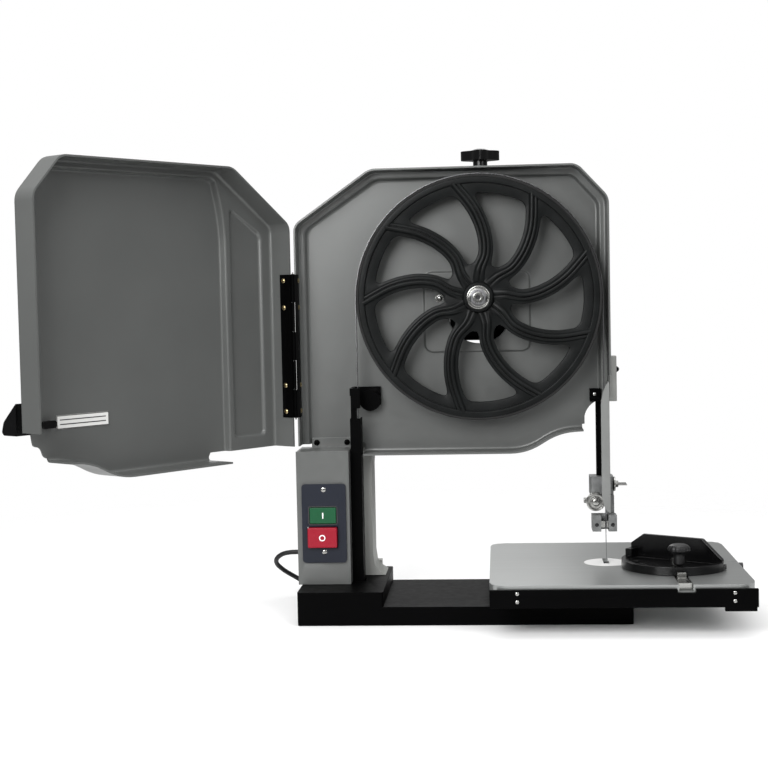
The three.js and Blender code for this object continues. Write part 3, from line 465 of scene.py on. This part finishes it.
def make_housing():
    """The wheel housing's sheet: walls stepped down to the back panel, floor, plateau and arm window."""
    lip, flange, panel = -10.7, 20.0, 28.0
    right_low, lip_low = 304.5, 342
    floor_z = 231 + SHEET
    bm = bmesh.new()
    profile = rounded([(SHEET, lip), (SHEET, flange, 4), (12.5, flange, 2.5), (15, panel, 2.5), (18, panel)],
                      4, closed=False)
    ribbon(bm, profile, lambda d, y: shell_path(d, SIDE_LOW, lip_low if y < flange - 3 else right_low))

    def floor_path(rise):
        low = floor_z + rise
        return rounded([(148, low + 31), (112, low + 29, 24), (66, low, 24), (-172, low)], closed=False)

    fold = rounded([(0, lip), (0, panel, FLOOR_BEND), (FLOOR_BEND + 1, panel)], 4, closed=False)
    ribbon(bm, fold, lambda d, y: floor_path(d))
    # The blade's way out is a hollow arc in the panel's lower right corner.
    relief_x, relief_z, relief_r = 182, 275, 31
    relief = [Vector((relief_x + relief_r * math.cos(math.radians(a)),
                      relief_z + relief_r * math.sin(math.radians(a)))) for a in range(114, 169, 6)]
    outer = [*shell_path(18, SIDE_LOW, right_low), *relief, Vector((151.6, 270)), *floor_path(FLOOR_BEND + 1),
             Vector((-172, SIDE_LOW))]

    def plateau(grow):
        return rect(*PLATEAU, grow)

    def arm_window(grow):
        x, z, r = ARM_WINDOW
        return circle(x, z, r + grow, 64)

    raised = panel - PLATEAU_RISE
    step = rounded([(4, panel), (0.5, panel, 0.9), (-2.0, raised, 0.9), (-6, raised)], 4, closed=False)
    emboss(bm, plateau, step)
    fill(bm, outer, [plateau(4)], lambda u, v: (u, panel, v))
    fill(bm, plateau(-6), [arm_window(0)], lambda u, v: (u, raised, v))
    emboss(bm, arm_window, [(0, raised), (-0.8, raised + 0.6), (-1, panel)])
    tidy(bm, (0, -1, 0))
    made = add("housing_sheet", bm, "grey_paint", "frame", stands_for=("wheel_housing",))
    pressed(made)


def make_door():
    """The door's sheet, drawn shut and turned open: a deep hollow beside a flat strip with a long recess."""
    lip, flange, panel = -1.3, -39.0, -49.5
    right_low = 301
    hollow_left = -172.9
    floor_z = 233 + SHEET
    bm = bmesh.new()
    profile = rounded([(SHEET, lip), (SHEET, flange, 5), (9, flange)], 5, closed=False)
    ribbon(bm, profile, lambda d, y: shell_path(d, SIDE_LOW, right_low))

    def deep_path(inset):
        """The hollow's left, upper and right sides."""
        side = shell_path(13 + inset, SIDE_LOW, right_low)
        corner = 7 + 1  # points of one rounded corner and the end before it
        start = rounded([(hollow_left + inset, SIDE_LOW), (hollow_left + inset, 575 - inset, 40),
                         (side[corner].x, side[corner].y)], 10, closed=False)
        return [*start[:-1], *side[corner:]]

    step = rounded([(-4, flange), (0, flange, 2.5), (2, panel, 2.5), (7, panel)], 4, closed=False)
    ribbon(bm, step, lambda d, y: deep_path(d))

    def strip(grow):
        """The long recess beside the hinge, with x from the hinge."""
        corners = [(24 - grow, 264 - grow, 8), (86 + grow, 264 - grow, 8),
                   (86 + grow, 592 + grow, 8), (24 - grow, 556 + grow, 8)]
        return rounded([(x + HINGE_X, z, r) for x, z, r in corners])

    sunk = flange - 4
    emboss(bm, strip, rounded([(4, flange), (0, flange, 2), (-2, sunk, 2), (-6, sunk)], 4, closed=False))
    fill(bm, [*shell_path(9, SIDE_LOW, right_low), *reversed(deep_path(-4))], [strip(4)],
         lambda u, v: (u, flange, v))
    fill(bm, strip(-6), [], lambda u, v: (u, sunk, v))

    def floor_path(rise):
        low = floor_z + rise
        return rounded([(141, low + 26), (112, low + 25, 24), (62, low, 24), (-140, low)], closed=False)

    fold = rounded([(0, lip), (0, panel, FLOOR_BEND), (FLOOR_BEND + 1, panel)], 4, closed=False)
    ribbon(bm, fold, lambda d, y: floor_path(d))
    notch = rounded([(166, right_low), (166, 299, 2), (163, 281, 4), (152, 279, 5), (147, 266, 4),
                     (141, 264)], 4, closed=False)
    outer = [*deep_path(7), *notch, *floor_path(FLOOR_BEND + 1), Vector((-143, SIDE_LOW))]
    fill(bm, outer, [], lambda u, v: (u, panel, v))
    tidy(bm, (0, 1, 0))
    opened = DOOR_FRAME @ Matrix.Translation((-HINGE_X, 0, 0))
    made = add("door_sheet", bm, "grey_paint", "door", stands_for=("door_shell",), matrix=opened)
    pressed(made)


# ---- Wheel ----

SPOKES = 9
FIRST_SPOKE = 20  # degrees
WEB_FRONT, WEB_BACK = -9.0, -1.0
WEB_R, WEB_EDGE = 166.0, 1.6  # the web's radius, and the rounding of its windows
RIM_HALF = 13.0
HUB_R, HUB_HALF = 20.6, 18
TYRE_T = 4.0
WINDOW_OUT, WINDOW_IN = 151.0, 49.5
SPOKE_HALF = 10.6


def spoke_point(t, across, lead):
    """A point of a spoke: t runs from hub to rim, across is measured square to its middle line."""
    line = SPOKE_LINE
    at = t * (len(line) - 1)
    i = min(int(at), len(line) - 2)
    here = line[i].lerp(line[i + 1], at - i)
    along = (line[min(i + 2, len(line) - 1)] - line[max(i - 1, 0)]).normalized()
    point = here + Vector((-along.y, along.x)) * across
    c, s = math.cos(lead), math.sin(lead)
    return Vector((c * point.x - s * point.y, s * point.x + c * point.y))


def spoke_line():
    """A spoke's middle line, from marks of radius and degrees."""
    marks = [(18, -8), (40, -13.5), (66, -20), (97, -15), (130, -7.5), (170, 1.5)]
    marks = [(r * math.cos(math.radians(a)), r * math.sin(math.radians(a)), 0) for r, a in marks]
    return [p.to_2d() for p in smooth_line(marks, 12)]


SPOKE_LINE = spoke_line()


def spoke_lead(i):
    """How far round the wheel a spoke stands."""
    return math.radians(FIRST_SPOKE + i * 360 / SPOKES)


def edge_between(lead, across, low, high, steps=26):
    """The part of a spoke's edge whose radius is between two values, from hub to rim."""
    fine = 60
    points = [spoke_point(k / fine, across, lead) for k in range(fine + 1)]
    kept = [p for p in points if low < p.length < high]
    return [kept[round(k * (len(kept) - 1) / steps)] for k in range(steps + 1)]


def window(i, corner=12.0):
    """The opening between spoke i and the next, with round corners."""
    near = edge_between(spoke_lead(i), SPOKE_HALF, WINDOW_IN, WINDOW_OUT)
    far = edge_between(spoke_lead(i + 1), -SPOKE_HALF, WINDOW_IN, WINDOW_OUT)

    def arc(r, start, end, steps=16):
        a, b = (math.atan2(p.y, p.x) for p in (start, end))
        while b - a > math.pi:
            b -= 2 * math.pi
        while b - a < -math.pi:
            b += 2 * math.pi
        return [Vector((r * math.cos(a + (b - a) * k / steps), r * math.sin(a + (b - a) * k / steps)))
                for k in range(steps + 1)]

    sides = [near, arc(WINDOW_OUT, near[-1], far[-1]), far[::-1], arc(WINDOW_IN, far[0], near[0])]
    cut = [trimmed(side, corner) for side in sides]
    loop = []
    for here, after in zip(cut, [*cut[1:], cut[0]]):
        loop += here
        tip = meeting(here, after)
        for k in range(1, 8):
            t = k / 8
            loop.append(here[-1] * (1 - t) ** 2 + tip * 2 * t * (1 - t) + after[0] * t * t)
    area = sum(a.cross(b) for a, b in zip(loop, [*loop[1:], loop[0]]))
    return loop if area > 0 else loop[::-1]


def trimmed(line, length):
    """A line without the given length at each end, or without a third of it where it is short."""
    total = sum((b - a).length for a, b in zip(line, line[1:]))
    cut = min(length, total * 0.36)
    out, gone = [], 0.0
    for a, b in zip(line, line[1:]):
        piece = (b - a).length
        if gone < cut <= gone + piece:
            out.append(a.lerp(b, (cut - gone) / piece))
        if cut < gone + piece < total - cut:
            out.append(b)
        if gone < total - cut <= gone + piece:
            out.append(a.lerp(b, (total - cut - gone) / piece))
        gone += piece
    return out


def meeting(here, after):
    """Where the end of one line and the start of the next would meet if they ran on straight."""
    p, d = here[-1], (here[-1] - here[-2]).normalized()
    q, e = after[0], (after[0] - after[1]).normalized()
    cross = d.cross(e)
    middle_point = (p + q) / 2
    if abs(cross) < 0.05:
        return middle_point
    tip = p + d * ((q - p).cross(e) / cross)
    return tip if (tip - middle_point).length < 25 else middle_point


def on_wheel(u, h, v):
    """A point beside the wheel's axis, at y = h."""
    return (WHEEL.x + u, h, WHEEL.z + v)


def make_wheel():
    """The cast wheel: a web with windows between its spokes, rim, hub and ribs."""
    bm = bmesh.new()
    windows = [window(i) for i in range(SPOKES)]
    rim = circle(0, 0, WEB_R, 144)
    for y in (WEB_FRONT, WEB_BACK):
        fill(bm, rim, [grown(w, WEB_EDGE) for w in windows], lambda u, v: on_wheel(u, y, v))
    bend = [(WEB_EDGE, 0), (0.7, 0.3), (0.15, 1.0), (0, 2.0)]
    rounding = [*((out, WEB_FRONT + h) for out, h in bend),
                *((out, WEB_BACK - h) for out, h in reversed(bend))]
    for w in windows:
        loft(bm, [[on_wheel(p.x, y, p.y) for p in grown(w, out)] for out, y in rounding], wrap_points=True)
    loft(bm, [[on_wheel(p.x, y, p.y) for p in rim] for y in (WEB_FRONT, WEB_BACK)], wrap_points=True)
    tidy(bm)
    outer = WHEEL_R - TYRE_T - 0.3
    rim_section = rounded([
        (164.5, WEB_FRONT + 1), (164.5, WEB_FRONT, 1.4), (165.4, -RIM_HALF, 1.2), (outer, -RIM_HALF, 1.0),
        (outer, RIM_HALF, 1.0), (165, RIM_HALF, 1.2), (164, WEB_BACK, 1.4), (164, WEB_BACK - 1),
    ], 4)
    lathe(bm, "y", (WHEEL.x, WHEEL.z), [(p.x, p.y) for p in rim_section], 144)
    boss = rounded([
        (9.5, -16), (17.8, -16.2), (17.9, -HUB_HALF, 0.6), (HUB_R, -HUB_HALF, 1.5),
        (HUB_R + 1.5, WEB_FRONT, 3), (28, WEB_FRONT + 0.5), (28, WEB_BACK - 0.5), (HUB_R + 1.5, WEB_BACK, 3),
        (HUB_R, HUB_HALF, 1.5), (17.9, HUB_HALF, 0.6), (17.8, 16.2), (9.5, 16),
    ], 4)
    lathe(bm, "y", (WHEEL.x, WHEEL.z), [(p.x, p.y) for p in boss], 72)
    for i in range(SPOKES):
        rib(bm, spoke_lead(i))
    bmesh.ops.recalc_face_normals(bm, faces=bm.faces)
    add("wheel_casting", bm, "wheel_paint", "wheel", stands_for=("upper_wheel",), flat=38)


def make_tyre():
    """The rubber band round the wheel, with a slight crown."""
    bm = bmesh.new()
    half, crown = 12.5, 0.5
    tread = rounded([(WHEEL_R - TYRE_T, -half), (WHEEL_R - crown, -half, 1), (WHEEL_R, 0, 8),
                     (WHEEL_R - crown, half, 1), (WHEEL_R - TYRE_T, half)], 5)
    lathe(bm, "y", (WHEEL.x, WHEEL.z), [(p.x, p.y) for p in tread], 144)
    tidy(bm)
    add("tyre_band", bm, "tyre_rubber", "wheel", stands_for=("wheel_tyre",))


# Two ridges, one higher, with a groove between: distance across, and y from the web's front.
RIB_SECTION = [
    (-7.6, 0.4), (-6.6, -0.5), (-5.6, -2.2), (-4.8, -2.7), (-3.2, -2.9), (-2.4, -2.5), (-2.1, -0.3),
    (-0.8, -0.3), (-0.4, -3.6), (0.2, -4.4), (1.2, -4.7), (3.2, -4.5), (4.2, -3.8), (5.2, -1.6),
    (6.2, -0.3), (7.0, 0.4),
]


def rib(bm, lead):
    """The raised rib along a spoke, with a groove in its crest; it sinks into the hub and the rim."""
    rows = []
    steps = 40
    for k in range(steps + 1):
        t = k / steps
        sink = min(1.0, t / 0.16)
        swell = 1.0 + 0.35 * max(0.0, 1 - t / 0.3)
        row = []
        for across, height in RIB_SECTION:
            p = spoke_point(0.04 + 0.955 * t, across * swell, lead)
            row.append(on_wheel(p.x, WEB_FRONT + height * (0.35 + 0.65 * sink), p.y))
        rows.append(row)
    grid = loft(bm, rows)
    for row in (grid[0], grid[-1]):
        bm.faces.new(row)
    for a, b in zip(grid, grid[1:]):
        bm.faces.new((a[0], a[-1], b[-1], b[0])).smooth = True


# ---- Turned fittings ----


def make_axle_end():
    """The axle with a dark disc in its centre hole as painted shade, and the washer and nut on its front end.
    """
    low, high = span("wheel_axle")
    centre = (WHEEL.x, WHEEL.z)
    bm = bmesh.new()
    end = rounded([(3.5, low.y + 4), (3.5, low.y, 0.5), (7.5, low.y, 0.8), (7.5, 18.6), (11, 18.6, 0.5),
                   (11, 21.6, 0.5), (7.5, 21.6), (7.5, high.y, 0.8), (0.2, high.y)], 3, closed=False)
    profile = [(0.01, low.y + 4), *[(p.x, p.y) for p in end], (0.01, high.y)]
    lathe(bm, "y", centre, profile, 48, closed=False)
    add("axle_shown", tidy(bm), "steel", "tilt", stands_for=("wheel_axle",))
    # A dark disc inside the axle's centre hole: painted shade standing in for the hole's depth.
    bm = bmesh.new()
    near, far = low.y + 2.5, low.y + 3.8
    lathe(bm, "y", centre, [(0.01, near), (3.45, near), (3.45, far), (0.01, far)], 24, closed=False)
    add("axle_hole_painted_shade", tidy(bm), "dark_steel", "tilt")
    bm = bmesh.new()
    front, back = span("axle_washer")[0].y, span("axle_washer")[1].y
    section = rounded([(7.7, front), (12.8, front, 0.4), (13.2, front + 0.7, 0.4), (14.4, front + 0.7, 0.4),
                       (14.8, front, 0.4), (16.4, front, 0.8), (17.2, front + 1.4, 0.8), (17.2, back),
                       (7.7, back)], 3)
    lathe(bm, "y", centre, [(p.x, p.y) for p in section], 72)
    add("washer_shown", tidy(bm), "steel", "tilt", stands_for=("axle_washer",))
    bm = bmesh.new()
    nut_front, nut_back = span("axle_nut")[0].y, span("axle_nut")[1].y
    flange_front = -23.9
    sides = [(8.8, nut_front), (9.6, nut_front + 0.2), (11.2, nut_front + 1.5), (11.5, nut_front + 1.9),
             (11.5, flange_front - 0.1)]
    loft(bm, [[on_wheel(r * k * math.cos(a), y, r * k * math.sin(a)) for a, k in hexagon_ring()]
              for r, y in sides], wrap_points=True)
    flange = rounded([(7.7, nut_front + 0.6), (8.4, nut_front), (10.0, nut_front), (10.0, flange_front),
                      (11.4, flange_front, 0.5), (12.5, -22.6, 0.5), (12.5, nut_back), (7.7, nut_back)], 3)
    lathe(bm, "y", centre, [(p.x, p.y) for p in flange], 48)
    add("nut_shown", tidy(bm), "blade_steel", "tilt", "steel", ("axle_nut",), flat=24)


def hexagon_ring(count=60):
    """Angles round a hexagon with their distance from its middle, where its cut-off corners are at 1."""
    flat = 0.885
    ring = []
    for i in range(count):
        a = 2 * math.pi * i / count
        off = (a % (math.pi / 3)) - math.pi / 6
        ring.append((a, min(1.0, flat / math.cos(off))))
    return ring


def make_thrust_bearing():
    """The bearing behind the blade, and the stepped shaft through it."""
    low, high = span("thrust_bearing")
    centre = ((low.x + high.x) / 2, (low.z + high.z) / 2)
    bm = bmesh.new()
    front, back = low.y, high.y
    half = [(5.05, front), (7.2, front, 0.3), (7.4, front + 0.7, 0.2), (10.4, front + 0.7, 0.2),
            (10.6, front, 0.3), (12.7, front, 0.6), (12.7, back, 0.6), (5.05, back)]
    lathe(bm, "y", centre, [(p.x, p.y) for p in rounded(half, 3)], 56)
    add("bearing_shown", tidy(bm), "steel", "thrust_roller", stands_for=("thrust_bearing",))
    low, high = span("thrust_shaft")
    bm = bmesh.new()
    line = rounded([(0.01, low.y), (4.2, low.y + 0.2, 1), (6, low.y + 1.5, 0.5), (6, low.y + 1.8),
                    (4.7, low.y + 1.9), (4.7, 15.3), (14, 15.3, 0.4), (14, 17.3, 0.4), (4.7, 17.3),
                    (4.7, high.y, 0.6), (0.01, high.y)], 4, closed=False)
    lathe(bm, "y", centre, [(p.x, p.y) for p in line], 40, closed=False)
    add("shaft_shown", tidy(bm), "steel", "post", stands_for=("thrust_shaft",))


def make_mitre_knob():
    """A mushroom knob with grips round its edge, on a turned neck."""
    low, high = span("mitre_knob")
    x, y = middle("mitre_knob").x, middle("mitre_knob").y
    line = rounded([
        (0.01, low.z), (3, low.z), (3, 82), (6, 82, 0.5), (8.2, 84, 1), (7.6, 96, 3), (10, 100, 1.5),
        (14.4, 101.2, 1.2), (15.6, 103.4, 1), (15.6, 106.6, 1.2), (13, 109.6, 1.5), (9, high.z - 0.6, 1),
        (0.01, high.z),
    ], 4, closed=False)
    count = 90
    grips, grip_depth, grip_r = 9, 0.9, 12.5
    rows = []
    for p in line:
        row = []
        deep = grip_depth * max(0.0, min(1.0, (p.x - grip_r) / 2))
        for i in range(count):
            a = 2 * math.pi * i / count
            grip = deep * (0.5 + 0.5 * math.cos(grips * a)) ** 3
            row.append((x + (p.x - grip) * math.cos(a), y + (p.x - grip) * math.sin(a), p.y))
        rows.append(row)
    bm = bmesh.new()
    loft(bm, rows, wrap_points=True)
    add("mitre_knob_shown", tidy(bm), "black_plastic", "mitre_clamp", stands_for=("mitre_knob",))


# ---- Small screws and prints ----

FACING_FRONT = Matrix.Rotation(math.radians(90), 4, "X")
FACING_RIGHT = Matrix.Rotation(math.radians(90), 4, "Y")
# A recess's reach and half width, as shares of the head's radius.
CROSS_REACH, CROSS_HALF = 0.62, 0.12
# Where the screws stand: heights beside the hinge, and x and z on the rail. In the other pairs
# the two screws differ in one coordinate only.
HINGE_SCREW_HEIGHTS = (488, 449, 335.6, 297.5)
RAIL_SCREWS = ((47, 60), (47, 49), (335, 60), (335, 49))
SWITCH_SCREW_X, SWITCH_SCREW_HEIGHTS = -227.5, (186, 95.5)
COVER_SCREWS_X, COVER_SCREW_Y, COVER_SCREW_Z = (-243.5, -198.5), 24.2, 248
SET_SCREWS_X, SET_SCREW_Y, SET_SCREW_Z = (165.2, 188), -8.5, 126


def screw(name, place, turn, r, height, look, body, shank=3.0):
    """A pan-head screw; the head stands up its own z, its cross recess cut into the crown."""
    bm = bmesh.new()
    n = 20
    grid = []
    for i in range(n + 1):
        row = []
        for j in range(n + 1):
            u, v = 2 * i / n - 1, 2 * j / n - 1
            reach = max(abs(u), abs(v))
            length = math.hypot(u, v) or 1
            x, y = u / length * reach, v / length * reach
            crown = height * (1 - 0.45 * reach ** 2.6)
            if reach < CROSS_REACH and min(abs(u), abs(v)) < CROSS_HALF:
                crown -= height * 0.5
            row.append(bm.verts.new((x * r, y * r, crown)))
        grid.append(row)
    for a, b in zip(grid, grid[1:]):
        for i in range(n):
            bm.faces.new((a[i], b[i], b[i + 1], a[i + 1])).smooth = True
    rim = [e for e in bm.edges if e.is_boundary]
    skirt = bmesh.ops.extrude_edge_only(bm, edges=rim)["geom"]
    for vert in skirt:
        if isinstance(vert, bmesh.types.BMVert):
            vert.co.z = -shank
    bmesh.ops.recalc_face_normals(bm, faces=bm.faces)
    seat = Matrix.Translation(place) @ turn
    add(name, bm, look, body, flat=35, matrix=DOOR_FRAME @ seat if body == "door" else seat)


def door_span(node):
    """A node's lowest and highest corners in the door's own frame, in millimetres."""
    back = DOOR_FRAME.inverted()
    points = [back @ (v.co / MM) for v in frame["nodes"][node].data.vertices]
    return (Vector(min(p[i] for p in points) for i in range(3)),
            Vector(max(p[i] for p in points) for i in range(3)))


def make_hinge_fittings():
    """Brass screws through both leaves, from inside the walls, and the hinge's long sleeve."""
    wall, aside = SHELL_LOW.x + SHEET - HINGE_X, 13
    r, height, shank = 3.6, 3.4, 1
    for i, z in enumerate(HINGE_SCREW_HEIGHTS):
        screw(f"hinge_screw_{i}", (HINGE_X + wall, HINGE_Y + aside, z), FACING_RIGHT, r, height, "brass",
              "frame", shank)
        screw(f"door_screw_{i}", (wall, -aside, z), FACING_RIGHT, r, height, "brass", "door", shank)
    low, high = span("hinge_leaf_fixed")
    sleeve_r = 1.7
    bm = bmesh.new()
    line = [(0.01, low.z), (sleeve_r, low.z), (sleeve_r, high.z), (0.01, high.z)]
    lathe(bm, "z", (HINGE_X, HINGE_Y), line, 20, False)
    add("hinge_sleeve", tidy(bm), "black_paint", "frame")


def make_screws():
    """The screws seen from the front, each with its radius and the height of its head."""
    rail_front = span("front_rail")[0].y
    for i, (x, z) in enumerate(RAIL_SCREWS):
        screw(f"rail_screw_{i}", (x, rail_front, z), FACING_FRONT, 2.3, 1.2, "steel", "table")
    plate_front = span("switch_plate")[0].y
    for i, z in enumerate(SWITCH_SCREW_HEIGHTS):
        place = (SWITCH_SCREW_X, plate_front, z)
        screw(f"switch_screw_{i}", place, FACING_FRONT, 3.4, 1.7, "steel", "frame")
    for i, x in enumerate(COVER_SCREWS_X):
        place = (x, COVER_SCREW_Y, COVER_SCREW_Z)
        screw(f"cover_screw_{i}", place, FACING_FRONT, 4.2, 2.6, "black_paint", "frame")
    screw("clip_screw", (165.5, span("guard_clip")[0].y, 314.5), FACING_FRONT, 2.4, 1.4, "steel", "frame")
    screw("housing_screw_far", (57.5, 25.4, 457.5), FACING_FRONT, 5.0, 3.0, "steel", "frame")
    for i, x in enumerate(SET_SCREWS_X):
        place = (x, SET_SCREW_Y, SET_SCREW_Z)
        screw(f"set_screw_{i}", place, FACING_FRONT, 2.75, 0.4, "dark_steel", "post")


def plaque(bm, x0, x1, z0, z1, y):
    """A flat rectangle that faces the front."""
    bm.faces.new([bm.verts.new(p) for p in ((x0, y, z0), (x1, y, z0), (x1, y, z1), (x0, y, z1))])


PRINT = 0.06  # how far a print stands in front of its surface


def make_button_marks():
    """A bar on the start button, a ring on the stop button and a dark line round the start button."""
    low, high = span("start_button")
    x, z = (low.x + high.x) / 2, (low.z + high.z) / 2
    bar_half, bar_half_height = 0.9, 4.2
    bm = bmesh.new()
    plaque(bm, x - bar_half, x + bar_half, z - bar_half_height, z + bar_half_height, low.y - PRINT)
    add("start_mark", bm, "print_white", "start")
    bm = bmesh.new()
    plate = span("switch_plate")[0].y - 0.05
    bezels = [rect(low.x, high.x, low.z, high.z, 1.5, grow) for grow in (0.8, 2.2)]
    loft(bm, [[(p.x, plate, p.y) for p in line] for line in bezels], wrap_points=True)
    add("start_bezel", bm, "print_dark", "frame")
    low, high = span("stop_button")
    x, z = (low.x + high.x) / 2, (low.z + high.z) / 2
    bm = bmesh.new()
    ring = (3.0, 4.6)
    loft(bm, [[(p.x, low.y - PRINT, p.y) for p in circle(x, z, r, 40)] for r in ring], wrap_points=True)
    add("stop_mark", bm, "print_white", "stop")


def make_label_print():
    """The door label's border and two blank lines."""
    low, high = door_span("door_label_plate")
    face = high.y + PRINT
    margin, border = 0.2, 1
    bm = bmesh.new()
    x0, x1, z0, z1 = low.x + margin, high.x - margin, low.z + margin, high.z - margin
    sides = [(x0, x1, z0, z0 + border), (x0, x1, z1 - border, z1),
             (x0, x0 + border, z0, z1), (x1 - border, x1, z0, z1)]
    for side in sides:
        plaque(bm, *side, face)
    third = (z1 - z0) / 3
    inset, line_half = 5, 0.7
    for k in (1, 2):
        at = z0 + third * k
        plaque(bm, x0 + inset, x1 - inset, at - line_half, at + line_half, face)
    add("label_print", bm, "print_dark", "door", matrix=DOOR_FRAME)


# ---- Pieces ----

make_housing()
make_door()
make_wheel()
make_tyre()
make_axle_end()
make_thrust_bearing()
make_mitre_knob()
make_hinge_fittings()
make_screws()
make_button_marks()
make_label_print()

# The other nodes keep the frame's shape: the rounding of each one's edges, and looks other than its slot's.
EDGES = {
    "base_casting": 2.0, "column_casting": 5.0, "column_bolt": 0.8, "housing_screw": 0.3,
    "door_label_plate": 0.2, "door_latch": 2.0, "hinge_leaf_fixed": 0.25, "hinge_leaf_door": 0.25,
    "hinge_pin": 0.2, "wheel_bearing_front": 0.5, "wheel_bearing_rear": 0.5, "tilt_block": 2.5,
    "tilt_pin": 0.6, "tension_bracket": 2.5, "tension_spring": 0, "tension_knob": 2.2,
    "tracking_knob": 2.2, "blade": 0, "guide_post": 0.8, "post_lock_knob": 1.2, "guide_bracket": 1.6,
    "guide_block_holder": 1.2, "guide_block_left": 0.4, "guide_block_right": 0.4,
    "thrust_clamp_screw": 0.8, "wing_screw": 0.6, "blade_guard": 0.4, "return_guard": 0.5,
    "return_guard_bracket": 1.2, "guard_clip": 0.8, "column_cover": 0.8, "switch_plate": 1.2,
    "start_button": 1.0, "stop_button": 1.6, "switch_body": 1.0, "table": 1.0, "table_insert": 0.4,
    "table_pin": 0.6, "front_rail": 1.0, "trunnion_front": 1.2, "trunnion_rear": 1.2,
    "trunnion_support": 1.5, "trunnion_knob": 1.2, "mitre_bar": 0.6, "mitre_head": 1.0,
    "mitre_fence": 1.6, "strain_relief": 0.8, "plug": 1.6,
}
LOOKS = {
    "column_cover": "grey_paint", "table_pin": "dark_steel", "blade_guard": "guard_grey",
    "table_insert": "bright_metal", "mitre_head": "black_enamel", "mitre_fence": "black_enamel",
    "tension_knob": "black_enamel", "post_lock_knob": "black_enamel", "door_latch": "black_enamel",
}
for node, width in EDGES.items():
    softened(node, width, LOOKS.get(node))

# ---- Stage ----


def make_world():
    """A studio that is bright overhead and darker towards the horizon, behind a white backdrop."""
    world = bpy.data.worlds.new("world")
    bpy.context.scene.world = world
    world.use_nodes = True
    tree = world.node_tree
    tree.nodes.clear()
    new, link = tree.nodes.new, tree.links.new
    split = new("ShaderNodeSeparateXYZ")
    link(new("ShaderNodeTexCoord").outputs["Generated"], split.inputs["Vector"])
    height = new("ShaderNodeMapRange")
    for name, value in (("From Min", -0.05), ("From Max", 0.85), ("To Min", 0.12), ("To Max", 0.8)):
        height.inputs[name].default_value = value
    link(split.outputs["Z"], height.inputs["Value"])
    studio, backdrop = new("ShaderNodeBackground"), new("ShaderNodeBackground")
    link(height.outputs["Result"], studio.inputs["Strength"])
    studio.inputs["Color"].default_value = backdrop.inputs["Color"].default_value = (1, 1, 1, 1)
    mix, out = new("ShaderNodeMixShader"), new("ShaderNodeOutputWorld")
    link(new("ShaderNodeLightPath").outputs["Is Camera Ray"], mix.inputs["Fac"])
    link(studio.outputs[0], mix.inputs[1])
    link(backdrop.outputs[0], mix.inputs[2])
    link(mix.outputs[0], out.inputs["Surface"])


FLOOR_HALF, FLOOR_Z = 2600, -0.5
FLOOR_FADE = (0.35, 1.5)  # metres from the middle, from solid to clear
AIM = Vector((0, 0, 0.4))
# Name, place and width in metres, and watts.
LIGHTS = [
    ("key", (-0.8, -1.75, 1.15), 1.1, 40), ("fill", (1.3, -1.6, 1.3), 0.9, 14),
    ("top", (0.0, 0.2, 2.0), 1.6, 16), ("back", (-0.4, 2.2, 1.4), 1.4, 10),
]


def make_floor():
    """A pale floor that fades into the white backdrop."""
    bm = bmesh.new()
    half, z = FLOOR_HALF, FLOOR_Z
    loft(bm, [[(-half, -half, z), (half, -half, z)], [(-half, half, z), (half, half, z)]])
    bm.transform(Matrix.Scale(MM, 4))
    mesh = bpy.data.meshes.new("floor")
    bm.to_mesh(mesh)
    bm.free()
    pale = finish("floor", (0.93, 0.93, 0.93), 0.8, tone=0.01, grain=60, bump=0.01, specular=0.2)
    tree = pale.node_tree
    reach, fade = tree.nodes.new("ShaderNodeVectorMath"), tree.nodes.new("ShaderNodeMapRange")
    reach.operation = "LENGTH"
    tree.links.new(tree.nodes.new("ShaderNodeTexCoord").outputs["Object"], reach.inputs[0])
    tree.links.new(reach.outputs["Value"], fade.inputs["Value"])
    for name, value in zip(("From Min", "From Max", "To Min", "To Max"), (*FLOOR_FADE, 1.0, 0.0)):
        fade.inputs[name].default_value = value
    fade.interpolation_type = "SMOOTHSTEP"
    tree.links.new(fade.outputs["Result"], tree.nodes["Principled BSDF"].inputs["Alpha"])
    mesh.materials.append(pale)
    floor = bpy.data.objects.new("floor", mesh)
    bpy.context.scene.collection.objects.link(floor)


def make_stage():
    """Backdrop, floor and four soft lights."""
    bpy.context.scene.view_settings.view_transform = "Standard"
    make_world()
    make_floor()
    for name, place, across, power in LIGHTS:
        data = bpy.data.lights.new(name, "AREA")
        data.size, data.energy = across, power
        lamp = bpy.data.objects.new(name, data)
        lamp.location = place
        lamp.rotation_euler = (AIM - Vector(place)).to_track_quat("-Z", "Y").to_euler()
        bpy.context.scene.collection.objects.link(lamp)


make_stage()
